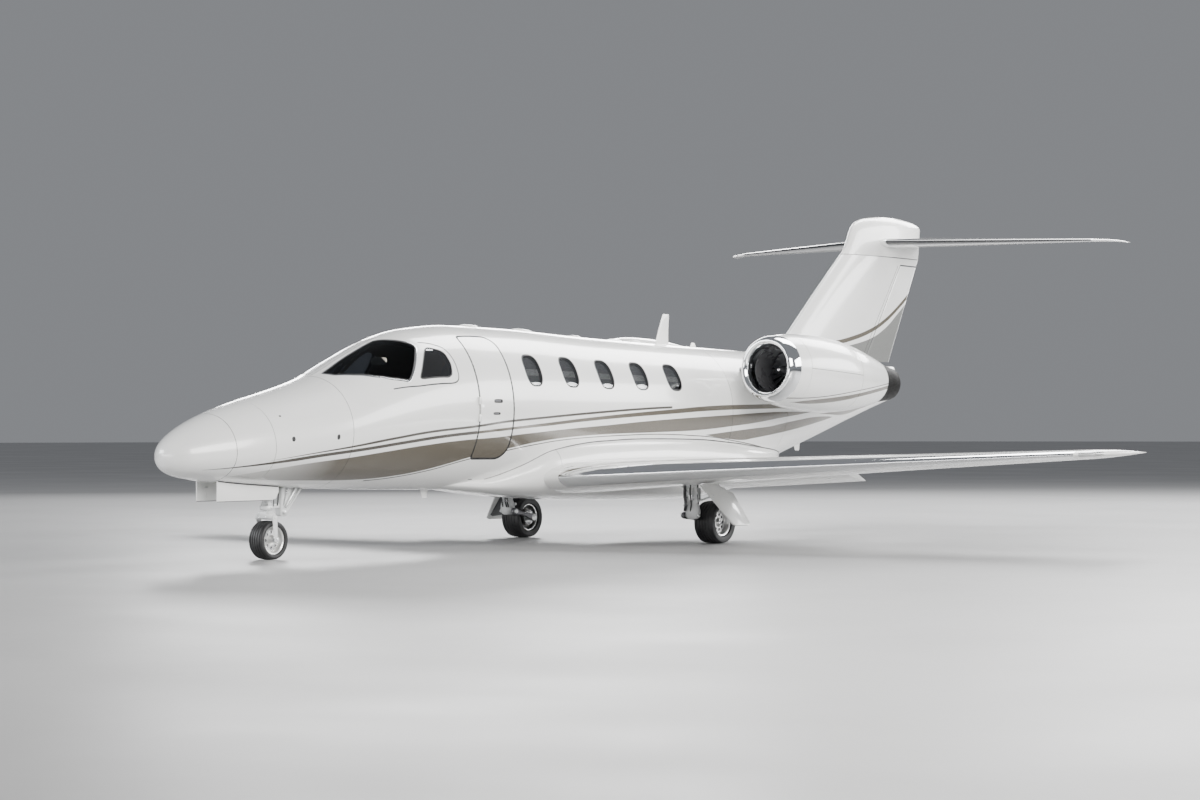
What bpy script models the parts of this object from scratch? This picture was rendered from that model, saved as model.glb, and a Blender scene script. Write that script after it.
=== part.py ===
"""A light twin-engined business jet with a T tail, standing on its own wheels.

Metres. The nose points to -Y, the port side is +X and the ground is z = 0. Lengths along the
body are given as s, the distance aft of the nose tip, and turned into y by along().
"""
import math

import bmesh
import bpy
from mathutils import Matrix, Vector

LENGTH = 16.26
SPAN = 15.49
HEIGHT = 4.69
SIDES = (("port", 1), ("starboard", -1))

GAP = 0.0003
RUNNING_GAP = 0.006
PIN_GAP = 0.0005
WALL = 0.06
RING_POINTS = 32
INNER_POINTS = 24

# Fuselage sections: s, z of keel, z of crown, half width, z of the widest point
BODY = (
    (0.00, 1.216, 1.216, 0.000, 1.216),
    (0.05, 1.078, 1.345, 0.150, 1.216),
    (0.20, 0.998, 1.470, 0.300, 1.220),
    (0.45, 0.950, 1.600, 0.420, 1.235),
    (0.80, 0.906, 1.730, 0.530, 1.260),
    (1.25, 0.870, 1.855, 0.625, 1.310),
    (1.80, 0.835, 1.985, 0.695, 1.390),
    (2.36, 0.812, 2.140, 0.745, 1.480),
    (2.90, 0.795, 2.380, 0.775, 1.570),
    (3.45, 0.780, 2.600, 0.798, 1.650),
    (4.00, 0.768, 2.735, 0.815, 1.710),
    (4.80, 0.750, 2.800, 0.825, 1.750),
    (5.80, 0.735, 2.785, 0.825, 1.750),
    (7.50, 0.720, 2.710, 0.825, 1.740),
    (9.50, 0.730, 2.645, 0.825, 1.740),
    (10.6, 0.810, 2.610, 0.815, 1.750),
    (11.3, 0.940, 2.585, 0.790, 1.790),
    (12.0, 1.130, 2.560, 0.735, 1.850),
    (12.8, 1.335, 2.530, 0.630, 1.930),
    (13.6, 1.540, 2.500, 0.480, 2.010),
    (14.4, 1.735, 2.465, 0.310, 2.090),
    (15.3, 1.945, 2.420, 0.070, 2.180),
)
RADOME_END = 0.695
NOSE_END = 2.36
CABIN_END = 9.90
TAIL_END = 15.30
NOSE_STATIONS = (0.0, 0.015, 0.05, 0.11, 0.20, 0.32, 0.48, RADOME_END)
BAY_STATIONS = (RADOME_END, 0.95, 1.25, 1.60, 1.98, NOSE_END)
CABIN_STATIONS = (NOSE_END, 2.60, 2.85, 3.10, 3.35, 3.60, 3.90, 4.25, 4.70, 5.30, 6.00, 7.50, 9.00, CABIN_END)
INNER_STATIONS = (2.80, 3.20, 3.65, 4.25, 5.10, 6.20, 7.40, 8.60)
TAIL_STATIONS = (CABIN_END, 10.6, 11.2, 11.8, 12.6, 13.5, 14.4, TAIL_END)
TAIL_INNER_STATIONS = (10.7, 11.4, 12.3, 13.9)

# Belly fairing sections: s, z_low, z_top, half width
FAIRING = (
    (4.30, 0.800, 0.900, 0.20),
    (5.00, 0.722, 0.905, 0.43),
    (5.60, 0.660, 1.120, 0.66),
    (6.10, 0.622, 1.360, 0.81),
    (7.00, 0.575, 1.480, 0.89),
    (8.00, 0.548, 1.510, 0.91),
    (9.10, 0.537, 1.490, 0.91),
    (10.0, 0.585, 1.420, 0.88),
    (10.7, 0.700, 1.340, 0.79),
    (11.2, 0.860, 1.270, 0.66),
    (11.7, 1.080, 1.200, 0.36),
)
FAIRING_POWER = 2.7
FAIRING_POINTS = 24

# Cockpit glass outlines on the port side: s, angle round the section from the widest point
WINDSHIELD = ((2.47, 80.0), (2.52, 68.0), (2.70, 55.5), (2.92, 44.0), (3.15, 35.0), (3.38, 28.5),
              (3.46, 32.0), (3.60, 42.0), (3.755, 54.5), (3.74, 58.5), (3.62, 67.5), (3.47, 78.5),
              (3.40, 82.5), (2.95, 82.5))
SIDE_WINDOW = ((3.56, 28.0), (3.62, 26.5), (4.06, 24.0), (4.13, 26.0), (4.17, 34.0), (4.15, 43.5),
               (4.10, 47.0), (3.93, 51.5), (3.86, 50.5), (3.80, 46.5))
WINDOW_FIRST = 5.684
WINDOW_PITCH = 0.740
WINDOW_COUNT = 5
WINDOW_ANGLE = 29.0
WINDOW_HALF_LENGTH = 0.155
WINDOW_HALF_ANGLE = 12.4
WINDOW_POWER = 2.9
PANE_RECESS = 0.004
PANE_GAP = 0.0014
COCKPIT_PANE_GAP = 0.0020
PANE_STEP = 0.11
LINER = 0.010
LINER_CLEAR = 0.014

# Cabin door
DOOR_FRONT = 4.545
DOOR_REAR = 5.195
DOOR_LOW = -37.5
DOOR_HIGH = 59.5
DOOR_CORNER = 0.16
# How much shorter the door is on its inner side, so that its edges swing clear of the doorway
DOOR_FRONT_TAPER = 0.008
DOOR_REAR_TAPER = 0.112
HINGE_X = 0.838
HINGE_RADIUS = 0.011
HINGE_LOW = 1.60
HINGE_HIGH = 1.90

# Wing: x, s of the leading edge, s of the trailing edge, z, thickness over chord
WING = (
    (0.55, 5.814, 8.812, 0.881, 0.140),
    (0.95, 5.920, 8.800, 0.900, 0.140),
    (2.60, 6.357, 8.750, 0.980, 0.130),
    (5.20, 7.046, 8.671, 1.106, 0.120),
    (7.35, 7.616, 8.606, 1.209, 0.115),
    (7.52, 7.690, 8.601, 1.217, 0.110),
    (7.64, 7.830, 8.598, 1.223, 0.100),
    (7.71, 8.030, 8.596, 1.226, 0.090),
    (7.745, 8.360, 8.590, 1.228, 0.080),
)
WING_POINTS = 26
AILERON_IN = 4.60
AILERON_OUT = 7.02
AILERON_HINGE = 0.76
FLAP_IN = 0.99
FLAP_OUT = 3.65
FLAP_CUT = 0.43
FLAP_CHORD = 0.205
FLAP_ANGLE = 18.0
FLAP_NOSE_GAP = 0.016
FLAP_DROP = 0.045

# Fin: z, s of the leading edge, s of the trailing edge, thickness over chord
FIN = (
    (2.30, 11.50, 15.075, 0.090),
    (2.55, 11.98, 15.215, 0.095),
    (2.83, 12.40, 15.365, 0.100),
    (3.40, 13.06, 15.670, 0.105),
    (3.80, 13.53, 15.885, 0.110),
    (4.09, 13.88, 16.040, 0.115),
)
FIN_POINTS = 26
RUDDER_LOW = 2.490
RUDDER_HIGH = 3.965
HINGE_FOOT_S = 14.493
HINGE_FOOT_Z = 2.629
HINGE_LEAN = 0.716
RUDDER_PIN = 0.010

# Fin cap: z, s of its front, s of its rear, half width
FIN_CAP = (
    (4.0903, 13.880, 16.040, 0.124),
    (4.20, 13.985, 16.060, 0.140),
    (4.32, 14.055, 16.070, 0.150),
    (4.45, 14.120, 16.085, 0.148),
    (4.56, 14.220, 16.095, 0.130),
    (4.64, 14.430, 15.900, 0.095),
    (4.69, 14.850, 15.500, 0.035),
)

# Tailplane: x, s of the leading edge, s of the trailing edge, z, thickness over chord
TAILPLANE = (
    (0.00, 14.650, 16.060, 4.305, 0.105),
    (0.20, 14.735, 16.075, 4.303, 0.105),
    (3.10, 15.780, 16.215, 4.272, 0.105),
    (3.40, 15.920, 16.240, 4.260, 0.100),
    (3.50, 16.020, 16.255, 4.250, 0.090),
    (3.549, 16.180, 16.260, 4.240, 0.080),
)
TAILPLANE_POINTS = 22
ELEVATOR_IN = 0.30
ELEVATOR_OUT = 3.05
ELEVATOR_HINGE = 0.68

# Engine pods: axis from the intake to the nozzle; profiles are (distance aft, radius)
POD_X = 1.387
POD_FRONT = (9.861, 2.318)
POD_REAR = (12.944, 2.124)
POD_STEPS = 28
LIP_LENGTH = 0.20
LIP_RADIUS = 0.375
COWL_FRONT_RADIUS = 0.455
THROAT_RADIUS = 0.305
COWL = ((0.20, 0.455), (0.36, 0.488), (0.62, 0.514), (0.98, 0.525), (1.42, 0.514), (1.85, 0.472),
        (2.25, 0.402), (2.62, 0.322))
DUCT = ((2.62, 0.300), (2.25, 0.400), (0.70, 0.400), (0.66, THROAT_RADIUS), (0.20, THROAT_RADIUS))
NOZZLE = ((2.6203, 0.284), (2.85, 0.250), (3.08, 0.223), (3.08, 0.235), (2.85, 0.268), (2.6203, 0.308))
ENGINE = ((2.95, 0.0), (2.95, 0.030), (2.50, 0.150), (2.05, 0.270), (1.80, 0.3997), (0.95, 0.3997),
          (0.78, 0.290), (0.78, 0.050), (0.6203, 0.050), (0.6203, 0.0))
FAN_HUB = ((0.46, 0.0), (0.475, 0.030), (0.51, 0.066), (0.56, 0.092), (0.62, 0.098), (0.62, 0.0))
FAN_RADIUS = 0.291
FAN_BLADES = 18
PYLON_FRONT = 10.42
PYLON_REAR = 12.45
PYLON_Z = 2.240
PYLON_THICKNESS = 0.19

# Landing gear
NOSE_WHEEL_S = 1.705
MAIN_WHEEL_S = 8.339
MAIN_WHEEL_X = 1.630
# Wheels: tyre radius, half width, flange radius, hub half width, axle radius
NOSE_WHEEL = (0.2285, 0.112, 0.164, 0.088, 0.016)
MAIN_WHEEL = (0.2800, 0.150, 0.180, 0.082, 0.026)
WHEEL_STEPS = 24
STEER_S = 1.672
NOSE_LEG_RADIUS = 0.048
NOSE_LEG_FOOT = 0.575
NOSE_LEG_TOP = 1.10
NOSE_COLLAR_RADIUS = 0.080
# The brace behind the nose leg going up: z, s at its front and rear, half width
NOSE_BRACE = ((0.500, 1.86, 1.97, 0.045), (0.660, 1.845, 2.08, 0.070), (0.900, 1.845, 2.27, 0.100))
# The fork: the arms' inner and outer faces, and the end of the axle
FORK_IN = 0.120
FORK_OUT = 0.142
FORK_AXLE = 0.148
BAY_HALF_WIDTH = 0.150
BAY_FRONT = 0.745
BAY_REAR = 1.830
BAY_TOP = 1.180
NOSE_DOOR_X = 0.164
NOSE_DOOR_LOW = 0.700
NOSE_DOOR_REAR = 1.700
MAIN_LEG_S = 7.935
MAIN_PIVOT_Z = 0.375
# The leg's corners going down: z, s, half length, x inboard, x outboard
MAIN_LEG = ((0.98, 7.93, 0.100, 1.44, 1.600), (0.55, 7.945, 0.090, 1.455, 1.630),
            (0.42, 7.945, 0.085, 1.465, 1.625), (0.325, 7.945, 0.055, 1.485, 1.610))
ARM_IN = 1.415
ARM_OUT = 1.4537
# The leg's door, seen along the body: x, s
MAIN_DOOR = ((1.665, 7.93), (1.620, 8.040), (1.610, 8.335), (1.700, 8.345), (1.780, 8.540), (2.075, 8.500),
             (2.090, 8.440), (2.090, 8.170), (2.075, 8.110))

FINISHES = {
    "white_paint": ((0.86, 0.86, 0.84, 1.0), 0.0, 0.25),
    "grey_paint": ((0.42, 0.40, 0.37, 1.0), 0.1, 0.35),
    "polished_metal": ((0.80, 0.81, 0.83, 1.0), 1.0, 0.12),
    "bare_metal": ((0.62, 0.63, 0.65, 1.0), 0.9, 0.40),
    "dark_metal": ((0.10, 0.10, 0.11, 1.0), 0.8, 0.45),
    "rubber": ((0.02, 0.02, 0.022, 1.0), 0.0, 0.75),
    "glass": ((0.05, 0.06, 0.07, 1.0), 0.0, 0.08),
    "interior": ((0.30, 0.27, 0.23, 1.0), 0.0, 0.70),
}


def clear_scene():
    for item in list(bpy.data.objects):
        bpy.data.objects.remove(item, do_unlink=True)


def make_collection(name):
    collection = bpy.data.collections.new(name)
    bpy.context.scene.collection.children.link(collection)
    return collection


def make_finish(name):
    colour, metallic, roughness = FINISHES[name]
    material = bpy.data.materials.new(name)
    material.use_nodes = True
    shader = material.node_tree.nodes["Principled BSDF"]
    shader.inputs["Base Color"].default_value = colour
    shader.inputs["Metallic"].default_value = metallic
    shader.inputs["Roughness"].default_value = roughness
    material.diffuse_color = colour
    return material


clear_scene()
PARTS = make_collection("business_jet")
CUTTERS = make_collection("cutters")
MATERIALS = {name: make_finish(name) for name in FINISHES}


def along(s):
    return s - LENGTH / 2


def spot(x, s, z):
    return Vector((x, along(s), z))


def part(name, mesh_data, finish, origin=None):
    """A node of the model; its origin is moved to origin where it turns on a joint there."""
    mesh = bpy.data.meshes.new(name)
    if origin is not None:
        bmesh.ops.translate(mesh_data, verts=mesh_data.verts, vec=-origin)
    mesh_data.to_mesh(mesh)
    mesh_data.free()
    mesh.materials.append(MATERIALS[finish])
    item = bpy.data.objects.new(name, mesh)
    if origin is not None:
        item.location = origin
    PARTS.objects.link(item)
    mesh.shade_smooth()
    mesh.set_sharp_from_angle(angle=math.radians(35))
    return item


def cutter(name, mesh_data):
    mesh = bpy.data.meshes.new(name)
    mesh_data.to_mesh(mesh)
    mesh_data.free()
    item = bpy.data.objects.new(name, mesh)
    CUTTERS.objects.link(item)
    item.hide_render = True
    item.display_type = "WIRE"
    return item


def boolean(item, tool, operation):
    modifier = item.modifiers.new(operation.lower(), "BOOLEAN")
    modifier.operation = operation
    modifier.solver = "EXACT"
    modifier.object = tool
    return item


def cut(item, *tools):
    for tool in tools:
        boolean(item, tool, "DIFFERENCE")
    return item


def keep(item, *tools):
    for tool in tools:
        boolean(item, tool, "INTERSECT")
    return item


def add(item, *tools):
    for tool in tools:
        boolean(item, tool, "UNION")
    return item


def loft(rings, split=False):
    """A closed skin through rings of points; a ring of one point is a tip.

    split cuts its four-sided faces the same way in a body and in the tool that fits round it."""
    data = bmesh.new()
    rows = [[data.verts.new(point) for point in ring] for ring in rings]
    for first, second in zip(rows, rows[1:]):
        count = max(len(first), len(second))
        for i in range(count):
            j = (i + 1) % count
            corners = [first[i % len(first)], first[j % len(first)]]
            corners += [second[j % len(second)], second[i % len(second)]]
            data.faces.new(list(dict.fromkeys(corners)))
    if split:
        bmesh.ops.triangulate(data, faces=data.faces, quad_method="FIXED")
    for row in (rows[0], rows[-1]):
        if len(row) > 2:
            data.faces.new(row)
    bmesh.ops.recalc_face_normals(data, faces=data.faces)
    return data


def joined(*pieces):
    """Several bmeshes in one, which stay separate bodies until a Boolean joins them."""
    whole = bmesh.new()
    for piece in pieces:
        mesh = bpy.data.meshes.new("piece")
        piece.to_mesh(mesh)
        piece.free()
        whole.from_mesh(mesh)
        bpy.data.meshes.remove(mesh)
    return whole


def block(low, high):
    """A box between two corners given as (x, s, z)."""
    data = bmesh.new()
    bmesh.ops.create_cube(data, size=1.0)
    a, b = spot(*low), spot(*high)
    size = Vector([abs(b[i] - a[i]) for i in range(3)])
    bmesh.ops.scale(data, verts=data.verts, vec=size)
    bmesh.ops.translate(data, verts=data.verts, vec=(a + b) / 2)
    return data


def rod(start, end, radius, steps=16, end_radius=None):
    """A round bar or cone between two world points."""
    data = bmesh.new()
    span = end - start
    far = radius if end_radius is None else end_radius
    bmesh.ops.create_cone(data, cap_ends=True, segments=steps, radius1=radius, radius2=far,
                          depth=span.length)
    turn = Vector((0, 0, 1)).rotation_difference(span.normalized()).to_matrix().to_4x4()
    bmesh.ops.transform(data, matrix=Matrix.Translation((start + end) / 2) @ turn, verts=data.verts)
    return data


def turned(name, outline, steps, finish, origin, turn, is_cutter=False):
    """A closed profile of (distance, radius) turned round the local Y axis by a Screw modifier."""
    profile = list(outline)
    area = sum(a[0] * b[1] - b[0] * a[1] for a, b in zip(profile, profile[1:] + profile[:1]))
    ordered = profile if area > 0 else list(reversed(profile))
    data = bmesh.new()
    verts = [data.verts.new((radius, distance, 0.0)) for distance, radius in ordered]
    for i, vert in enumerate(verts):
        following = verts[(i + 1) % len(verts)]
        on_axis = vert.co.x == 0 and following.co.x == 0
        if not on_axis:
            data.edges.new((vert, following))
    mesh = bpy.data.meshes.new(name)
    data.to_mesh(mesh)
    data.free()
    item = bpy.data.objects.new(name, mesh)
    if is_cutter:
        CUTTERS.objects.link(item)
        item.hide_render = True
        item.display_type = "WIRE"
    else:
        PARTS.objects.link(item)
        mesh.materials.append(MATERIALS[finish])
    item.location = origin
    item.rotation_euler = turn
    screw = item.modifiers.new("turn", "SCREW")
    screw.axis = "Y"
    screw.steps = steps
    screw.render_steps = steps
    screw.use_merge_vertices = True
    screw.merge_threshold = 0.0001
    screw.use_smooth_shade = True
    return item


def pchip(xs, ys, x):
    """Monotone cubic through a table's points."""
    last = len(xs) - 1
    i = 0
    while i < last - 1 and xs[i + 1] <= x:
        i += 1
    rise = [(ys[k + 1] - ys[k]) / (xs[k + 1] - xs[k]) for k in range(last)]

    def slope(k):
        if k == 0:
            return rise[0]
        if k == last:
            return rise[-1]
        if rise[k - 1] * rise[k] <= 0:
            return 0.0
        return 2 * rise[k - 1] * rise[k] / (rise[k - 1] + rise[k])

    width = xs[i + 1] - xs[i]
    t = (x - xs[i]) / width
    start = (1 + 2 * t) * (1 - t) ** 2 * ys[i] + t * (1 - t) ** 2 * width * slope(i)
    end = t * t * (3 - 2 * t) * ys[i + 1] + t * t * (t - 1) * width * slope(i + 1)
    return start + end


BODY_ROOTS = [math.sqrt(row[0]) for row in BODY]


def body_at(s):
    """Keel, crown, half width and widest height at s, smooth in the square root of s."""
    root = math.sqrt(max(s, 0.0))
    return [pchip(BODY_ROOTS, [row[column] for row in BODY], root) for column in (1, 2, 3, 4)]


def skin(s, degrees, inset=0.0, side=1):
    """A point on the fuselage, moved in by inset; 0 degrees is the port widest point."""
    low, top, half, wide = body_at(s)
    angle = math.radians(degrees)
    rise = math.sin(angle)
    depth = (top - wide) if rise > 0 else (wide - low)
    x = max(half - inset, 0.0) * math.cos(angle)
    z = wide + max(depth - inset, 0.0) * rise
    return spot(side * x, s, z)


def body_ring(s, inset=0.0, points=RING_POINTS):
    if body_at(s)[2] - inset < 0.002:
        return [skin(s, 90, 9.0)]
    return [skin(s, -90 + 360 * i / points, inset) for i in range(points)]


def body_loft(stations, inset=0.0, points=RING_POINTS):
    return loft([body_ring(s, inset, points) for s in stations], split=True)


def fairing_ring(s, grow=0.0):
    columns = [pchip([row[0] for row in FAIRING], [row[c] for row in FAIRING], s) for c in (1, 2, 3)]
    low, top, half = columns
    middle = (low + top) / 2
    points = []
    for i in range(FAIRING_POINTS):
        angle = 2 * math.pi * (i + 0.5) / FAIRING_POINTS
        across, up = math.cos(angle), math.sin(angle)
        x = (half + grow) * math.copysign(abs(across) ** (2 / FAIRING_POWER), across)
        z = middle + ((top - low) / 2 + grow) * math.copysign(abs(up) ** (2 / FAIRING_POWER), up)
        points.append(spot(x, s, z))
    return points


def fairing_loft(grow=0.0):
    stations = (4.30, 4.65, 5.00, 5.30, 5.60, 6.00, 6.50, 7.20, 8.30, 9.20, 10.0, 10.5, 10.95, 11.3, 11.7)
    return loft([fairing_ring(s, grow) for s in stations], split=True)


def aerofoil(count):
    """Points of a closed symmetric section as (part of chord, part of half thickness)."""
    half = count // 2
    points = []
    for i in range(count):
        t = i / half
        x = (1 + math.cos(math.pi * t)) / 2
        thick = 5 * (0.2969 * math.sqrt(x) - 0.126 * x - 0.3516 * x ** 2 + 0.2843 * x ** 3 - 0.1036 * x ** 4)
        thick = max(thick * 2, 0.006)
        if i == 0:
            points.append((1.0, 0.02))
        elif i < half:
            points.append((x, thick))
        elif i == half:
            points.append((0.0, 0.0))
        else:
            points.append((x, -thick))
    points.append((1.0, -0.02))
    return points


def panel_ring(row, count, upright=False, grow=0.0, side=1):
    """A section of a wing row (x, le, te, z, t), or of a fin row (z, le, te, t) when upright."""
    if upright:
        height, front, rear, ratio = row
        across = 0.0
    else:
        across, front, rear, height, ratio = row
    chord = rear - front
    points = []
    for along_chord, offset in aerofoil(count):
        s = front - grow + along_chord * (chord + 2 * grow)
        bulge = offset * (ratio * chord / 2 + grow)
        if upright:
            points.append(spot(bulge, s, height))
        else:
            points.append(spot(side * across, s, height + bulge))
    return points


def panel_loft(table, count, upright=False, grow=0.0, side=1):
    return loft([panel_ring(row, count, upright, grow, side) for row in table], split=table is WING)


def row_at(table, key):
    """A wing, fin or tailplane row between two rows of its table."""
    for first, second in zip(table, table[1:]):
        if first[0] <= key <= second[0]:
            t = (key - first[0]) / (second[0] - first[0])
            return [a + t * (b - a) for a, b in zip(first, second)]
    raise ValueError("outside the table")


def keyhole(first, second, radii, reach, depth, lean, upright=False):
    """The space of a hinged surface: all that lies aft of its hinge line, and a round nose.

    first and second are the hinge line's ends as world points and radii the nose's there; lean is
    the factor by which the sweep of the line stretches the nose along the body."""
    rings = []
    for centre, radius in ((first, radii[0]), (second, radii[1])):
        corners = [(reach, depth), (0.0, depth)]
        for i in range(9):
            angle = math.radians(90 + 180 * i / 8)
            corners.append((radius * lean * math.cos(angle), radius * math.sin(angle)))
        corners += [(0.0, -depth), (reach, -depth)]
        ring = []
        for back, off in corners:
            ring.append(centre + (Vector((off, back, 0)) if upright else Vector((0, back, off))))
        rings.append(ring)
    return loft(rings)


def outline_plug(outer, inner, outer_inset, inner_inset, side=1, fractions=(1.0, 0.5)):
    """A plug through the skin: two outlines of (s, degrees), each with a domed cap on the section."""
    def cap(outline, inset):
        s_mid = sum(point[0] for point in outline) / len(outline)
        angle_mid = sum(point[1] for point in outline) / len(outline)
        rows = []
        for fraction in fractions:
            ring = []
            for s, angle in outline:
                ring.append(skin(s_mid + fraction * (s - s_mid), angle_mid + fraction * (angle - angle_mid),
                                 inset, side))
            rows.append(ring)
        rows.append([skin(s_mid, angle_mid, inset, side)])
        return rows
    outside = cap(outer, outer_inset)
    inside = cap(inner, inner_inset)
    return loft(list(reversed(outside)) + inside)


def rounded_outline(s_mid, angle_mid, half_s, half_angle, power, count):
    points = []
    for i in range(count):
        angle = 2 * math.pi * i / count
        across, up = math.cos(angle), math.sin(angle)
        points.append((s_mid + half_s * math.copysign(abs(across) ** (2 / power), across),
                       angle_mid + half_angle * math.copysign(abs(up) ** (2 / power), up)))
    return points


def densify(outline, longest):
    """An outline of (s, degrees) with points added so no side is longer than longest metres."""
    filled = []
    for first, second in zip(outline, outline[1:] + outline[:1]):
        length = math.hypot(second[0] - first[0], (second[1] - first[1]) * 0.0136)
        steps = max(1, math.ceil(length / longest))
        for k in range(steps):
            filled.append((first[0] + (second[0] - first[0]) * k / steps,
                           first[1] + (second[1] - first[1]) * k / steps))
    return filled


def shrink(outline, margin):
    """An outline of (s, degrees) drawn in by margin metres on every side."""
    scale = math.radians(1) * 0.78
    flat = [Vector((s, angle * scale)) for s, angle in outline]
    turn = sum(a.x * b.y - b.x * a.y for a, b in zip(flat, flat[1:] + flat[:1]))
    inward = 1 if turn > 0 else -1
    points = []
    for i, here in enumerate(flat):
        before = (here - flat[i - 1]).normalized()
        after = (flat[(i + 1) % len(flat)] - here).normalized()
        sides = [Vector((-edge.y, edge.x)) * inward for edge in (before, after)]
        bisector = (sides[0] + sides[1]).normalized()
        moved = here + bisector * margin / max(bisector.dot(sides[0]), 0.3)
        points.append((moved.x, moved.y / scale))
    return points


def door_outline(margin_s, margin_angle):
    """A tall rectangle with round corners, in (s, degrees)."""
    degrees_per_metre = 57.3 / 0.90
    s_mid = (DOOR_FRONT + DOOR_REAR) / 2
    angle_mid = (DOOR_LOW + DOOR_HIGH) / 2
    half_s = (DOOR_REAR - DOOR_FRONT) / 2 - margin_s
    half_angle = (DOOR_HIGH - DOOR_LOW) / 2 - margin_angle * degrees_per_metre
    corner = DOOR_CORNER
    corner_angle = corner * degrees_per_metre
    points = []
    for sign_s, sign_angle, start in ((1, 1, 0), (-1, 1, 90), (-1, -1, 180), (1, -1, 270)):
        for i in range(5):
            turn = math.radians(start + 90 * i / 4)
            points.append((s_mid + sign_s * (half_s - corner) + corner * math.cos(turn),
                           angle_mid + sign_angle * (half_angle - corner_angle)
                           + corner_angle * math.sin(turn)))
    return densify(points, 0.17)


# Tools shared by several pieces
BODY_STATIONS = NOSE_STATIONS[:-1] + BAY_STATIONS[:-1] + CABIN_STATIONS[:-1] + TAIL_STATIONS
body_envelope = cutter("body_envelope", body_loft(BODY_STATIONS, -GAP))
fairing_envelope = cutter("fairing_envelope", fairing_loft(GAP))
cabin_space = cutter("cabin_space", body_loft((NOSE_END + WALL,) + INNER_STATIONS + (CABIN_END - WALL,),
                                              WALL, INNER_POINTS))
cabin_fit = cutter("cabin_fit", body_loft((NOSE_END + WALL + GAP,) + INNER_STATIONS
                                          + (CABIN_END - WALL - GAP,), WALL + GAP, INNER_POINTS))


def window_outline(index):
    return rounded_outline(WINDOW_FIRST + index * WINDOW_PITCH, WINDOW_ANGLE, WINDOW_HALF_LENGTH,
                           WINDOW_HALF_ANGLE, WINDOW_POWER, 16)


def make_nose():
    part("nose_cone", body_loft(NOSE_STATIONS[:-1] + (RADOME_END - GAP,)), "white_paint")
    nose = part("nose_section", body_loft(BAY_STATIONS[:-1] + (NOSE_END - GAP,)), "white_paint")
    bay = cutter("nose_bay", block((-BAY_HALF_WIDTH, BAY_FRONT, 0.6), (BAY_HALF_WIDTH, BAY_REAR, BAY_TOP)))
    cut(nose, bay)


def make_cabin():
    shell = part("cabin_shell", body_loft(CABIN_STATIONS), "white_paint")
    plugs = []
    for _, side in SIDES:
        for i in range(WINDOW_COUNT):
            outline = window_outline(i)
            plugs.append(outline_plug(outline, outline, -0.03, WALL + 0.03, side, (1.0,)))
        for outline in (densify(WINDSHIELD, PANE_STEP), densify(SIDE_WINDOW, PANE_STEP)):
            plugs.append(outline_plug(outline, outline, -0.02, WALL + 0.02, side, (1.0, 0.66, 0.33)))
    doorway = door_outline(0.0, 0.0)
    wide_cap = (1.0, 0.8, 0.6, 0.4, 0.2)
    plugs.append(outline_plug(doorway, doorway, -0.05, WALL + 0.05, 1, wide_cap))
    openings = cutter("cabin_openings", joined(*plugs))
    knuckles = [rod(spot(HINGE_X, DOOR_FRONT, low), spot(HINGE_X, DOOR_FRONT, high), HINGE_RADIUS, 12)
                for low, high in ((HINGE_LOW, HINGE_LOW + 0.09), (HINGE_HIGH - 0.09, HINGE_HIGH))]
    cut(shell, cabin_space, openings)
    for i, low in enumerate((HINGE_LOW, HINGE_HIGH - 0.09)):
        leaf = block((0.800, DOOR_FRONT - 0.035, low), (HINGE_X + 0.006, DOOR_FRONT - 0.002, low + 0.09))
        add(shell, cutter(f"shell_leaf_{i}", leaf))
    add(shell, cutter("shell_knuckles", joined(*knuckles)))


def make_door():
    door = part("cabin_door", body_loft(CABIN_STATIONS), "white_paint")
    outside = door_outline(RUNNING_GAP, RUNNING_GAP)
    taper = (DOOR_REAR_TAPER + DOOR_FRONT_TAPER) / 2
    shift = (DOOR_REAR_TAPER - DOOR_FRONT_TAPER) / 2
    inside = [(s - shift, angle) for s, angle in door_outline(taper, RUNNING_GAP)]
    wide_cap = (1.0, 0.8, 0.6, 0.4, 0.2)
    plug = cutter("door_plug", outline_plug(outside, inside, -0.005, WALL + 0.04, 1, wide_cap))
    cut(door, cabin_space)
    keep(door, plug)
    low, high = HINGE_LOW + 0.09 + GAP, HINGE_HIGH - 0.09 - GAP
    barrel = rod(spot(HINGE_X, DOOR_FRONT, low), spot(HINGE_X, DOOR_FRONT, high), HINGE_RADIUS, 12)
    leaf = block((HINGE_X - 0.006, DOOR_FRONT, low), (HINGE_X + 0.006, DOOR_FRONT + 0.06, high))
    root = block((0.800, DOOR_FRONT + 0.03, low), (HINGE_X + 0.004, DOOR_FRONT + 0.06, high))
    for name, piece in (("door_barrel", barrel), ("door_leaf", leaf), ("door_root", root)):
        add(door, cutter(name, piece))
    pivot = Vector((HINGE_X, along(DOOR_FRONT), 0))
    shift_origin(door, pivot)


def shift_origin(item, pivot):
    """Moves an object's origin to pivot while its mesh stays in place."""
    item.data.transform(Matrix.Translation(-pivot))
    item.location = pivot


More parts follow.
